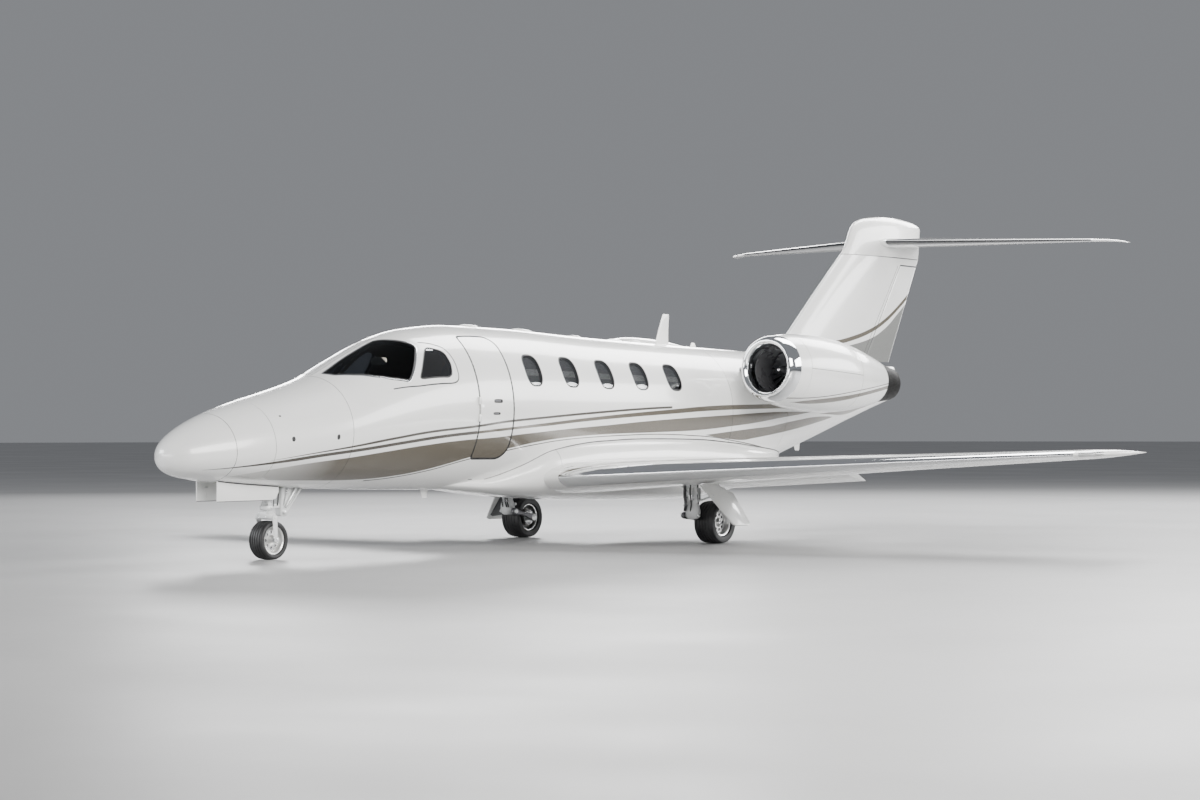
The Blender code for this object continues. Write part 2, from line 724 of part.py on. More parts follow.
def make_glass():
    table = (("windshield", WINDSHIELD, COCKPIT_PANE_GAP), ("side_window", SIDE_WINDOW, PANE_GAP))
    for name, corners, gap in table:
        outline = densify(corners, PANE_STEP)
        for side_name, side in SIDES:
            pane = shrink(outline, gap)
            part(f"{name}_{side_name}", outline_plug(pane, pane, PANE_RECESS, 0.024, side, (1.0, 0.66, 0.33)),
                 "glass")
    for side_name, side in SIDES:
        first = WINDOW_FIRST - 0.26
        last = WINDOW_FIRST + (WINDOW_COUNT - 1) * WINDOW_PITCH + 0.26
        low, high = WINDOW_ANGLE - 17, WINDOW_ANGLE + 17
        strip = []
        for inset in (WALL + LINER_CLEAR, WALL + LINER_CLEAR + LINER):
            rows = []
            for angle in [low + (high - low) * i / 4 for i in range(5)]:
                rows.append([skin(first + (last - first) * k / 6, angle, inset, side) for k in range(7)])
            strip.append(rows)
        band = part(f"cabin_windows_{side_name}", sheet(strip), "glass")
        panes = []
        for i in range(WINDOW_COUNT):
            pane = shrink(window_outline(i), PANE_GAP)
            panes.append(outline_plug(pane, pane, PANE_RECESS, WALL + LINER_CLEAR + LINER / 2, side, (1.0,)))
        add(band, cutter(f"panes_{side_name}", joined(*panes)))


def sheet(layers):
    """A closed plate between two grids of points of the same size."""
    data = bmesh.new()
    grids = [[[data.verts.new(point) for point in row] for row in layer] for layer in layers]
    rows, columns = len(grids[0]), len(grids[0][0])
    for grid in grids:
        for i in range(rows - 1):
            for j in range(columns - 1):
                data.faces.new((grid[i][j], grid[i][j + 1], grid[i + 1][j + 1], grid[i + 1][j]))
    rim = [(0, j) for j in range(columns)] + [(i, columns - 1) for i in range(1, rows)]
    rim += [(rows - 1, j) for j in range(columns - 2, -1, -1)] + [(i, 0) for i in range(rows - 2, 0, -1)]
    for (a, b), (c, d) in zip(rim, rim[1:] + rim[:1]):
        data.faces.new((grids[0][a][b], grids[0][c][d], grids[1][c][d], grids[1][a][b]))
    bmesh.ops.recalc_face_normals(data, faces=data.faces)
    return data


FLOOR_TOP = 1.160
FLOOR_LOW = 1.120


def seat(x, s, facing):
    """A cabin seat: pedestal, cushion and back; facing is 1 when it looks forward."""
    low = FLOOR_TOP + GAP
    pedestal = block((x - 0.16, s - 0.16, low), (x + 0.16, s + 0.16, low + 0.20))
    cushion = block((x - 0.22, s - 0.25, low + 0.19), (x + 0.22, s + 0.25, low + 0.36))
    ends = sorted((s + 0.16 * facing, s + 0.27 * facing))
    back = block((x - 0.21, ends[0], low + 0.30), (x + 0.21, ends[1], low + 0.95))
    return [pedestal, cushion, back]


def make_cabin_interior():
    floor = part("cabin_floor", block((-0.85, NOSE_END, FLOOR_LOW), (0.85, CABIN_END, FLOOR_TOP)), "interior")
    keep(floor, cabin_fit)
    panel = part("instrument_panel", block((-0.85, 2.95, FLOOR_TOP + GAP), (0.85, 3.14, 2.07)), "interior")
    pedals = block((-0.60, 2.7, 0.9), (0.60, 3.3, 1.55))
    cowl = block((-0.85, 2.62, 1.99), (0.85, 3.0, 2.04))
    add(panel, cutter("glareshield", cowl))
    cut(panel, cutter("footwell", pedals))
    keep(panel, cabin_fit)
    low = FLOOR_TOP + GAP
    crew = part("cockpit_seats", block((-0.45, 3.66, low), (0.45, 3.90, low + 0.03)), "interior")
    pieces = seat(0.31, 3.82, 1) + seat(-0.31, 3.82, 1)
    for i, piece in enumerate(pieces):
        add(crew, cutter(f"crew_seat_{i}", piece))
    rail = part("cabin_seats", block((-0.50, 5.60, low), (-0.28, 8.95, low + 0.02)), "interior")
    pieces = [block((0.28, 5.60, low), (0.50, 8.95, low + 0.02)),
              block((-0.40, 5.70, low), (0.40, 5.80, low + 0.02))]
    for s, facing in ((5.90, -1), (7.30, 1), (8.60, 1)):
        for x in (-0.39, 0.39):
            pieces += seat(x, s, facing)
    for i, piece in enumerate(pieces):
        add(rail, cutter(f"cabin_seat_{i}", piece))


def make_tail_body():
    tail = part("tail_section", body_loft((CABIN_END + GAP,) + TAIL_STATIONS[1:]), "white_paint")
    hollow = body_loft((CABIN_END - 0.05,) + TAIL_INNER_STATIONS, WALL, INNER_POINTS)
    cut(tail, cutter("tail_space", hollow))


def make_fairing():
    cut(part("belly_fairing", fairing_loft(), "white_paint"), body_envelope)


def wing_point(x, part_of_chord):
    row = row_at(WING, x)
    return spot(x, row[1] + part_of_chord * (row[2] - row[1]), row[3])


def hinge_pins(item, ends, radius):
    """Round pins on the hinge line that reach from a control surface's ends to what carries it."""
    line = (ends[1] - ends[0]).normalized()
    slant = math.sqrt(1 - line.x ** 2)
    reach = RUNNING_GAP - (radius * slant + GAP) / abs(line.x)
    for i, (end, outward) in enumerate(((ends[0], -line), (ends[1], line))):
        pin = rod(end - outward * 0.03, end + outward * reach, radius, 12)
        add(item, cutter(f"{item.name}_pin_{i}", pin))


def half_depth(table, key, part_of_chord, upright=False):
    """Half the section's thickness at a part of its chord."""
    row = row_at(table, key)
    chord = row[2] - row[1]
    ratio = row[3] if upright else row[4]
    x = part_of_chord
    return 5 * (0.2969 * math.sqrt(x) - 0.126 * x - 0.3516 * x ** 2 + 0.2843 * x ** 3
                - 0.1036 * x ** 4) * ratio * chord


def mirrored(point, side):
    return Vector((side * point.x, point.y, point.z))


def make_wings():
    for side_name, side in SIDES:
        wing = part(f"wing_{side_name}", panel_loft(WING, WING_POINTS, side=side), "white_paint")
        cut(wing, fairing_envelope, body_envelope)
        ends = [mirrored(wing_point(x, AILERON_HINGE), side) for x in (AILERON_IN, AILERON_OUT)]
        radii = [half_depth(WING, x, AILERON_HINGE) + 0.002 for x in (AILERON_IN, AILERON_OUT)]
        step = (ends[1] - ends[0]).normalized() * RUNNING_GAP
        room = keyhole(ends[0] - step, ends[1] + step, [r + RUNNING_GAP for r in radii], 0.7, 0.4, 1.0)
        cut(wing, cutter(f"aileron_room_{side_name}", room))
        aileron = part(f"aileron_{side_name}", panel_loft(WING, WING_POINTS, side=side), "white_paint")
        keep(aileron, cutter(f"aileron_space_{side_name}", keyhole(ends[0], ends[1], radii, 0.7, 0.4, 1.0)))
        hinge_pins(aileron, ends, 0.008)
        shift_origin(aileron, ends[0])
        make_flap(side_name, side, wing)


def make_flap(side_name, side, wing):
    """The flap stands partly down, as in the photograph, on two track plates."""
    rings = []
    tracks = []
    cut_corners = []
    for x in (FLAP_IN, FLAP_OUT):
        row = row_at(WING, x)
        chord = row[2] - row[1]
        cut_s = row[2] - FLAP_CUT * (chord / 2.8) ** 0.5
        cut_corners.append((x, cut_s, row[3]))
        flap_chord = FLAP_CHORD * 2.8 * (chord / 2.8) ** 0.5
        angle = math.radians(FLAP_ANGLE)
        ring = []
        for part_of_chord, offset in aerofoil(18):
            a = part_of_chord * flap_chord
            h = offset * 0.14 * flap_chord / 2 * 1.1
            s = cut_s + FLAP_NOSE_GAP + a * math.cos(angle) + h * math.sin(angle)
            z = row[3] - FLAP_DROP - a * math.sin(angle) + h * math.cos(angle)
            ring.append(spot(side * x, s, z))
        rings.append(ring)
    flap = part(f"flap_{side_name}", loft(rings), "white_paint")
    (x_in, s_in, z_in), (x_out, s_out, z_out) = cut_corners
    margin = 0.008
    rings = []
    for x, s, z in ((x_in - margin, s_in, z_in), (x_out + margin, s_out, z_out)):
        rings.append([spot(side * x, s, z - 0.5), spot(side * x, s + 0.9, z - 0.5),
                      spot(side * x, s + 0.9, z + 0.5), spot(side * x, s, z + 0.5)])
    cut(wing, cutter(f"flap_room_{side_name}", loft(rings)))
    for i, t in enumerate((0.14, 0.86)):
        x = x_in + t * (x_out - x_in)
        s = s_in + t * (s_out - s_in)
        z = z_in + t * (z_out - z_in)
        layers = []
        for dx in (-0.012, 0.012):
            across = side * (x + dx)
            layers.append([[spot(across, s + GAP, z - 0.005), spot(across, s + 0.22, z - 0.10)],
                           [spot(across, s + GAP, z - 0.055), spot(across, s + 0.22, z - 0.155)]])
        tracks.append(sheet(layers))
    for i, track in enumerate(tracks):
        add(flap, cutter(f"flap_track_{side_name}_{i}", track))


def hinge_s(z):
    return HINGE_FOOT_S + (z - HINGE_FOOT_Z) * HINGE_LEAN


def make_fin():
    fin = part("fin", panel_loft(FIN, FIN_POINTS, upright=True), "white_paint")
    lean = math.hypot(1.0, HINGE_LEAN)
    ends = [spot(0, hinge_s(z), z) for z in (RUDDER_LOW, RUDDER_HIGH)]
    room_ends = [spot(0, hinge_s(z), z) for z in (RUDDER_LOW - 0.2, RUDDER_HIGH + 0.022)]
    radii = []
    for z in (RUDDER_LOW, RUDDER_HIGH):
        row = row_at(FIN, z)
        part_of_chord = (hinge_s(z) - row[1]) / (row[2] - row[1])
        radii.append(half_depth(FIN, z, part_of_chord, upright=True) + 0.004)
    space = keyhole(ends[0], ends[1], radii, 1.6, 0.4, lean, upright=True)
    room = keyhole(room_ends[0], room_ends[1], [r + RUNNING_GAP for r in radii], 1.6, 0.4, lean, upright=True)
    cut(fin, body_envelope, cutter("rudder_room", room))
    rudder = part("rudder", panel_loft(FIN, FIN_POINTS, upright=True), "white_paint")
    keep(rudder, cutter("rudder_space", space))
    line = (ends[1] - ends[0]).normalized()
    drop = (line.y * RUDDER_PIN + GAP * 2) / line.z
    foot = ends[0] - line * ((RUDDER_LOW - body_at(hinge_s(RUDDER_LOW - 0.02))[1]) / line.z - drop)
    head = ends[1] + line * (0.022 / line.z - drop)
    for i, (inner, outer) in enumerate(((ends[0], foot), (ends[1], head))):
        inward = (inner - outer).normalized() * 0.05
        add(rudder, cutter(f"rudder_pin_{i}", rod(inner + inward, outer, RUDDER_PIN, 12)))
    shift_origin(rudder, ends[0])


def cap_ring(row, count=24):
    height, front, rear, half = row
    middle, reach = (front + rear) / 2, (rear - front) / 2
    points = []
    for i in range(count):
        angle = 2 * math.pi * (i + 0.5) / count
        across, back = math.sin(angle), math.cos(angle)
        x = half * math.copysign(abs(across) ** 0.9, across) * (1 - 0.55 * max(back, 0.0) ** 2)
        points.append(spot(x, middle + reach * math.copysign(abs(back) ** 0.85, back), height))
    return points


def make_tailplane():
    half = list(TAILPLANE)
    table = [(-row[0],) + tuple(row[1:]) for row in reversed(half)] + half[1:]
    whole = part("tailplane", panel_loft(table, TAILPLANE_POINTS), "white_paint")
    envelope = cutter("tailplane_envelope", panel_loft(table, TAILPLANE_POINTS, grow=GAP))
    cap = part("fin_cap", loft([cap_ring(row) for row in FIN_CAP]), "white_paint")
    cut(cap, envelope)
    for side_name, side in SIDES:
        ends = []
        radii = []
        for x in (ELEVATOR_IN, ELEVATOR_OUT):
            row = row_at(TAILPLANE, x)
            ends.append(spot(side * x, row[1] + ELEVATOR_HINGE * (row[2] - row[1]), row[3]))
            radii.append(half_depth(TAILPLANE, x, ELEVATOR_HINGE) + 0.002)
        step = (ends[1] - ends[0]).normalized() * RUNNING_GAP
        room = keyhole(ends[0] - step, ends[1] + step, [r + RUNNING_GAP for r in radii], 0.6, 0.3, 1.0)
        cut(whole, cutter(f"elevator_room_{side_name}", room))
        elevator = part(f"elevator_{side_name}", panel_loft(table, TAILPLANE_POINTS), "white_paint")
        keep(elevator, cutter(f"elevator_space_{side_name}", keyhole(ends[0], ends[1], radii, 0.6, 0.3, 1.0)))
        hinge_pins(elevator, ends, 0.006)
        shift_origin(elevator, ends[0])


POD_TILT = -math.atan2(POD_FRONT[1] - POD_REAR[1], POD_REAR[0] - POD_FRONT[0])


def lip_profile():
    points = []
    for i in range(5):
        angle = math.radians(22.5 * i)
        points.append((LIP_LENGTH * (1 - math.sin(angle)),
                       LIP_RADIUS + (COWL_FRONT_RADIUS - LIP_RADIUS) * math.cos(angle)))
    for i in range(1, 4):
        angle = math.radians(30 * i)
        points.append((0.14 * (1 - math.cos(angle)),
                       LIP_RADIUS - (LIP_RADIUS - THROAT_RADIUS) * math.sin(angle)))
    points.append((LIP_LENGTH, THROAT_RADIUS))
    return [(min(a, LIP_LENGTH - GAP), r) for a, r in reversed(points)]


def make_pods():
    for side_name, side in SIDES:
        origin = spot(side * POD_X, *POD_FRONT)
        turn = (POD_TILT, 0, 0)
        turned(f"inlet_lip_{side_name}", lip_profile(), POD_STEPS, "polished_metal", origin, turn)
        turned(f"nacelle_{side_name}", COWL + DUCT, POD_STEPS, "white_paint", origin, turn)
        turned(f"nozzle_{side_name}", NOZZLE, POD_STEPS, "dark_metal", origin, turn)
        turned(f"engine_{side_name}", ENGINE, POD_STEPS, "dark_metal", origin, turn)
        fan = turned(f"fan_{side_name}", FAN_HUB, 24, "dark_metal", origin, turn)
        blades = []
        for i in range(FAN_BLADES):
            blade = bmesh.new()
            bmesh.ops.create_cube(blade, size=1.0)
            bmesh.ops.scale(blade, verts=blade.verts, vec=(FAN_RADIUS - 0.07, 0.075, 0.007))
            bmesh.ops.translate(blade, verts=blade.verts, vec=((FAN_RADIUS + 0.07) / 2, 0, 0))
            pitch = Matrix.Rotation(math.radians(-38), 4, "X")
            spin = Matrix.Rotation(2 * math.pi * i / FAN_BLADES, 4, "Y")
            place = Matrix.Translation((0, 0.575, 0)) @ spin @ pitch
            bmesh.ops.transform(blade, matrix=place, verts=blade.verts)
            blades.append(blade)
        blade_tool = cutter(f"fan_blades_{side_name}", joined(*blades))
        blade_tool.matrix_world = Matrix.Translation(origin) @ Matrix.Rotation(POD_TILT, 4, "X")
        add(fan, blade_tool)
        outer = [(a, r + GAP) for a, r in COWL]
        outer[0] = (-0.05, outer[0][1])
        envelope = turned(f"pod_envelope_{side_name}", outer + [(2.62, 0.0), (-0.05, 0.0)], POD_STEPS, None,
                          origin, turn, is_cutter=True)
        rings = []
        ends = ((0.45, PYLON_FRONT - 0.12, PYLON_REAR + 0.15), (1.20, PYLON_FRONT, PYLON_REAR))
        for x, front, rear in ends:
            ring = []
            for a, h in aerofoil(20):
                ring.append(spot(side * x, front + a * (rear - front), PYLON_Z + h * PYLON_THICKNESS / 2
                                 - (a - 0.5) * 0.12))
            rings.append(ring)
        pylon = part(f"pylon_{side_name}", loft(rings), "white_paint")
        cut(pylon, body_envelope, envelope)


def wheel(name, x, s, sizes):
    """A tyre on a dished rim, both turned round the axle along X."""
    radius, half, flange, hub_half, axle = sizes
    shoulder = radius * 0.9
    tyre = [(-half * 0.55, flange + GAP), (-half * 0.86, flange + 0.012), (-half, (flange + shoulder) / 2),
            (-half * 0.92, shoulder + 0.007), (-half * 0.45, radius), (half * 0.45, radius),
            (half * 0.92, shoulder + 0.007), (half, (flange + shoulder) / 2), (half * 0.86, flange + 0.012),
            (half * 0.55, flange + GAP)]
    dish = flange - 0.022
    rim = [(-hub_half, axle + PIN_GAP), (-hub_half, axle + 0.030), (-hub_half * 0.40, axle + 0.040),
           (-hub_half * 0.40, dish - 0.02), (-half * 0.62, dish), (-half * 0.55, flange),
           (half * 0.55, flange), (half * 0.62, dish), (hub_half * 0.40, dish - 0.02),
           (hub_half * 0.40, axle + 0.040), (hub_half, axle + 0.030), (hub_half, axle + PIN_GAP)]
    # A flat between two corners of the tyre faces the ground, and just touches it
    half_step = math.pi / WHEEL_STEPS
    tyre = [(across, reach / math.cos(half_step)) for across, reach in tyre]
    rim = [(across, reach / math.cos(half_step)) for across, reach in rim]
    origin = spot(x, s, radius)
    turn = (0, half_step, -math.pi / 2)
    turned(f"{name}_tyre", list(reversed(tyre)), WHEEL_STEPS, "rubber", origin, turn)
    turned(f"{name}_rim", list(reversed(rim)), WHEEL_STEPS, "bare_metal", origin, turn)


def make_nose_gear():
    radius, axle = NOSE_WHEEL[0], NOSE_WHEEL[4]
    wheel("nose_wheel", 0.0, NOSE_WHEEL_S, NOSE_WHEEL)
    strut = rod(spot(0, STEER_S, NOSE_LEG_FOOT), spot(0, STEER_S, NOSE_LEG_TOP), NOSE_LEG_RADIUS, 20)
    leg = part("nose_leg", strut, "bare_metal")
    reach = BAY_HALF_WIDTH - GAP
    trunnion = rod(spot(-reach, STEER_S, 1.02), spot(reach, STEER_S, 1.02), 0.035, 16)
    collar = rod(spot(0, STEER_S, NOSE_LEG_FOOT), spot(0, STEER_S, NOSE_LEG_FOOT + 0.09),
                 NOSE_COLLAR_RADIUS, 20)
    add(leg, cutter("nose_trunnion", trunnion), cutter("nose_collar", collar))
    foot = NOSE_LEG_FOOT - GAP
    fork = part("nose_fork", rod(spot(0, STEER_S, 0.49), spot(0, STEER_S, foot), 0.036, 20), "bare_metal",
                origin=spot(0, STEER_S, 0))
    yoke = block((-FORK_OUT, STEER_S - 0.045, 0.468), (FORK_OUT, STEER_S + 0.045, 0.510))
    axle_ends = [spot(x, NOSE_WHEEL_S, radius) for x in (-FORK_AXLE, FORK_AXLE)]
    pieces = [yoke, rod(*axle_ends, axle, 20)]
    for _, side in SIDES:
        rings = []
        for s, z, half_s in ((STEER_S, 0.505, 0.042), (NOSE_WHEEL_S, radius, 0.028)):
            corners = ((FORK_IN, -half_s), (FORK_OUT, -half_s), (FORK_OUT, half_s), (FORK_IN, half_s))
            rings.append([spot(side * x, s + ds, z) for x, ds in corners])
        pieces.append(loft(rings))
        inner, outer = [spot(side * x, NOSE_WHEEL_S, radius) for x in (FORK_IN - 0.002, FORK_OUT + 0.002)]
        pieces.append(rod(inner, outer, 0.034, 16))
    for i, piece in enumerate(pieces):
        tool = cutter(f"nose_fork_{i}", piece)
        add(fork, tool)
    brace_rings = []
    for z, front, rear, half_x in NOSE_BRACE:
        brace_rings.append([spot(-half_x, front, z), spot(half_x, front, z),
                            spot(half_x, rear, z), spot(-half_x, rear, z)])
    brace = part("nose_brace", loft(brace_rings), "bare_metal")
    add(brace, cutter("nose_brace_lug", block((-0.032, 1.68, 0.595), (0.032, 1.90, 0.650))))
    leg_envelope = rod(spot(0, STEER_S, 0.4), spot(0, STEER_S, 1.2), NOSE_COLLAR_RADIUS + GAP, 20)
    cut(brace, body_envelope, cutter("nose_leg_envelope", leg_envelope))
    for side_name, side in SIDES:
        x = side * NOSE_DOOR_X
        door = part(f"nose_gear_door_{side_name}",
                    block((x - 0.007, RADOME_END + 0.01, NOSE_DOOR_LOW), (x + 0.007, NOSE_DOOR_REAR, 1.1)),
                    "white_paint")
        cut(door, body_envelope)


def cross_rod(side, x_in, x_out, s, z, radius, steps):
    """A round bar across the aircraft on one side."""
    return rod(spot(side * x_in, s, z), spot(side * x_out, s, z), radius, steps)


def make_main_gear():
    radius, axle = MAIN_WHEEL[0], MAIN_WHEEL[4]
    for side_name, side in SIDES:
        wheel(f"main_wheel_{side_name}", side * MAIN_WHEEL_X, MAIN_WHEEL_S, MAIN_WHEEL)
        shifted = cutter(f"wing_under_{side_name}", panel_loft(WING, WING_POINTS, side=side))
        shifted.location.z = -GAP
        leg_rings = []
        for z, s, half_s, x_in, x_out in MAIN_LEG:
            corners = ((x_in, -half_s), (x_out, -half_s), (x_out, half_s), (x_in, half_s))
            leg_rings.append([spot(side * x, s + ds, z) for x, ds in corners])
        leg = part(f"main_leg_{side_name}", loft(leg_rings), "bare_metal")
        pivot = cross_rod(side, 1.40, 1.64, MAIN_LEG_S, MAIN_PIVOT_Z, 0.024, 24)
        add(leg, cutter(f"main_pivot_{side_name}", pivot))
        cut(leg, shifted)
        arm_rings = []
        arm_line = ((MAIN_LEG_S, MAIN_PIVOT_Z, 0.045), (8.14, 0.33, 0.045), (MAIN_WHEEL_S, radius, 0.042))
        for s, z, half_z in arm_line:
            corners = ((ARM_IN, -half_z), (ARM_OUT, -half_z), (ARM_OUT, half_z), (ARM_IN, half_z))
            arm_rings.append([spot(side * x, s, z + dz) for x, dz in corners])
        arm = part(f"main_arm_{side_name}", loft(arm_rings), "bare_metal")
        eye = cross_rod(side, ARM_IN, ARM_OUT, MAIN_LEG_S, MAIN_PIVOT_Z, 0.046, 16)
        boss = cross_rod(side, 1.410, 1.520, MAIN_WHEEL_S, radius, 0.044, 16)
        axle_pin = cross_rod(side, 1.50, 1.712, MAIN_WHEEL_S, radius, axle, 20)
        bore = cross_rod(side, 1.38, 1.47, MAIN_LEG_S, MAIN_PIVOT_Z, 0.024 + PIN_GAP, 24)
        for i, piece in enumerate((eye, boss, axle_pin)):
            add(arm, cutter(f"main_arm_{side_name}_{i}", piece))
        cut(arm, cutter(f"main_arm_bore_{side_name}", bore))
        door = part(f"main_gear_door_{side_name}", main_door(side), "white_paint")
        door_tool = cutter(f"wing_over_door_{side_name}", panel_loft(WING, WING_POINTS, side=side))
        door_tool.location.z = -GAP
        cut(door, door_tool)


def main_door(side):
    """The leg's door: a thin panel that hangs outward from the wing's underside."""
    normal = Vector((side * 0.79, 0, 0.61)) * 0.009
    return sheet_from_outline([spot(side * x, s, 0.880 - 1.29 * (x - 1.600)) for x, s in MAIN_DOOR], normal)


def sheet_from_outline(points, offset):
    data = bmesh.new()
    front = [data.verts.new(point + offset) for point in points]
    back = [data.verts.new(point - offset) for point in points]
    data.faces.new(front)
    data.faces.new(list(reversed(back)))
    for i in range(len(points)):
        j = (i + 1) % len(points)
        data.faces.new((front[i], back[i], back[j], front[j]))
    bmesh.ops.recalc_face_normals(data, faces=data.faces)
    return data


def make_antenna():
    rings = []
    levels = ((2.55, 9.20, 0.34, 0.030), (2.72, 9.24, 0.28, 0.022), (3.066, 9.40, 0.15, 0.014))
    for z, front, chord, thick in levels:
        rings.append([spot(h * thick / 2, front + a * chord, z) for a, h in aerofoil(14)])
    blade = part("dorsal_antenna", loft(rings), "white_paint")
    cut(blade, body_envelope)


def build():
    make_nose()
    make_cabin()
    make_door()
    make_glass()
    make_cabin_interior()
    make_tail_body()
    make_fairing()
    make_wings()
    make_fin()
    make_tailplane()
    make_pods()
    make_nose_gear()
    make_main_gear()
    make_antenna()


build()
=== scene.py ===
"""Looks of a light business jet with a T tail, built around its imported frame.

Metres. The nose points to -Y, the port side is +X and the ground is z = 0. Lengths along the body
are given as s, the distance aft of the nose tip.
"""
import math

import bmesh
import bpy
import numpy as np
from mathutils import Matrix, Vector

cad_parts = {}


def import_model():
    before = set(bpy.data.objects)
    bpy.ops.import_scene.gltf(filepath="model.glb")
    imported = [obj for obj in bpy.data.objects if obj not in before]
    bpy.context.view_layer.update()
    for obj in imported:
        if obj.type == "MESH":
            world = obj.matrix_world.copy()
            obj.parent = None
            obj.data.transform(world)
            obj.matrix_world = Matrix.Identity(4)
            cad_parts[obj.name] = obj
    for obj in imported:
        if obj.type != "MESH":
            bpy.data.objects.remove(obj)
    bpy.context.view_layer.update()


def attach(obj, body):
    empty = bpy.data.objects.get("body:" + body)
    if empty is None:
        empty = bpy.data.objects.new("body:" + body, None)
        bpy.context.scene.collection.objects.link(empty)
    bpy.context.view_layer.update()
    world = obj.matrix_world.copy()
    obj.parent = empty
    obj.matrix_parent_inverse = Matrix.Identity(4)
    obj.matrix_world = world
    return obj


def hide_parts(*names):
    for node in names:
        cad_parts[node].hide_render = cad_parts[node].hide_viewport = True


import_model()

LENGTH = 16.26
SIDES = (("port", 1), ("starboard", -1))
WALL = 0.06
GAP = 0.0003
RUNNING_GAP = 0.006
# Depth and lower and upper half width of the grooves at the skin's seams
GROOVE, GROOVE_FLOOR, GROOVE_LIP = 0.0035, 0.0022, 0.0042
# Metres round the skin for one degree, and mean radii of the section at its windows and at the door
DEGREE, SKIN_RADIUS, DOOR_RADIUS = 0.0136, 0.78, 0.90

# Fuselage sections: s, z of keel, z of crown, half width, z of the widest point
BODY = np.array((
    (0.00, 1.216, 1.216, 0.000, 1.216), (0.05, 1.078, 1.345, 0.150, 1.216),
    (0.20, 0.998, 1.470, 0.300, 1.220), (0.45, 0.950, 1.600, 0.420, 1.235),
    (0.80, 0.906, 1.730, 0.530, 1.260), (1.25, 0.870, 1.855, 0.625, 1.310),
    (1.80, 0.835, 1.985, 0.695, 1.390), (2.36, 0.812, 2.140, 0.745, 1.480),
    (2.90, 0.795, 2.380, 0.775, 1.570), (3.45, 0.780, 2.600, 0.798, 1.650),
    (4.00, 0.768, 2.735, 0.815, 1.710), (4.80, 0.750, 2.800, 0.825, 1.750),
    (5.80, 0.735, 2.785, 0.825, 1.750), (7.50, 0.720, 2.710, 0.825, 1.740),
    (9.50, 0.730, 2.645, 0.825, 1.740), (10.6, 0.810, 2.610, 0.815, 1.750),
    (11.3, 0.940, 2.585, 0.790, 1.790), (12.0, 1.130, 2.560, 0.735, 1.850),
    (12.8, 1.335, 2.530, 0.630, 1.930), (13.6, 1.540, 2.500, 0.480, 2.010),
    (14.4, 1.735, 2.465, 0.310, 2.090), (15.3, 1.945, 2.420, 0.070, 2.180)))
RADOME_END, NOSE_END, CABIN_END, TAIL_END = 0.695, 2.36, 9.90, 15.30
NOSE_SEAM, TAIL_SEAM = 1.205, 11.28

# Belly fairing sections: s, z_low, z_top, half width
FAIRING = np.array((
    (4.30, 0.800, 0.900, 0.20), (5.00, 0.722, 0.905, 0.43), (5.60, 0.660, 1.120, 0.66),
    (6.10, 0.622, 1.360, 0.81), (7.00, 0.575, 1.480, 0.89), (8.00, 0.548, 1.510, 0.91),
    (9.10, 0.537, 1.490, 0.91), (10.0, 0.585, 1.420, 0.88), (10.7, 0.700, 1.340, 0.79),
    (11.2, 0.860, 1.270, 0.66), (11.7, 1.080, 1.200, 0.36)))
FAIRING_POWER = 2.7

# Cockpit glass outlines on the port side: s, angle round the section from the widest point
WINDSHIELD = ((2.47, 80.0), (2.52, 68.0), (2.70, 55.5), (2.92, 44.0), (3.15, 35.0), (3.38, 28.5),
              (3.46, 32.0), (3.60, 42.0), (3.755, 54.5), (3.74, 58.5), (3.62, 67.5), (3.47, 78.5),
              (3.40, 82.5), (2.95, 82.5))
# The joint line of the panel round the cockpit glass
SURROUND = ((3.10, 26.6), (3.52, 22.4), (3.85, 20.7), (4.10, 19.7), (4.20, 20.6), (4.235, 24.0),
            (4.245, 33.6), (4.225, 42.0), (4.17, 49.0), (4.00, 55.0), (3.84, 58.5))
SIDE_WINDOW = ((3.56, 28.0), (3.62, 26.5), (4.06, 24.0), (4.13, 26.0), (4.17, 34.0), (4.15, 43.5),
               (4.10, 47.0), (3.93, 51.5), (3.86, 50.5), (3.80, 46.5))
WINDOWS = tuple(5.684 + 0.740 * i for i in range(5))
WINDOW_ANGLE, WINDOW_HALF_LENGTH, WINDOW_HALF_ANGLE, WINDOW_POWER = 29.0, 0.155, 12.4, 2.9

DOOR_FRONT, DOOR_REAR, DOOR_LOW, DOOR_HIGH, DOOR_CORNER = 4.545, 5.195, -37.5, 59.5, 0.20
DOOR_FRONT_CORNER = 0.05
DOOR_CAP = (1.0, 0.8, 0.6, 0.4, 0.2)
DOOR_FRONT_TAPER, DOOR_REAR_TAPER = 0.008, 0.112
HINGE_X, HINGE_RADIUS, HINGE_LOW, HINGE_HIGH = 0.838, 0.011, 1.60, 1.90
KNUCKLE, LEAF_X = 0.09, 0.800
FLOOR_TOP = 1.160
# Door handles: s, z, half length, half height
DOOR_HANDLES = ((4.897, 1.852, 0.075, 0.011), (4.864, 1.698, 0.062, 0.006))

# Wing: x, s of the leading edge, s of the trailing edge, z, thickness over chord
WING = (
    (0.55, 5.814, 8.812, 0.881, 0.140), (0.95, 5.920, 8.800, 0.900, 0.140),
    (2.60, 6.357, 8.750, 0.980, 0.130), (5.20, 7.046, 8.671, 1.106, 0.120),
    (7.35, 7.616, 8.606, 1.209, 0.115), (7.52, 7.690, 8.601, 1.217, 0.110),
    (7.64, 7.830, 8.598, 1.223, 0.100), (7.71, 8.030, 8.596, 1.226, 0.090),
    (7.745, 8.360, 8.590, 1.228, 0.080))
AILERON_IN, AILERON_OUT, AILERON_HINGE = 4.60, 7.02, 0.76
FLAP_IN, FLAP_OUT, FLAP_CUT, FLAP_CHORD, FLAP_ANGLE = 0.99, 3.65, 0.43, 0.205, 18.0
FLAP_NOSE_GAP, FLAP_DROP = 0.016, 0.045
# The wing chord for which the flap's cut and chord are given
FLAP_BASE = 2.8

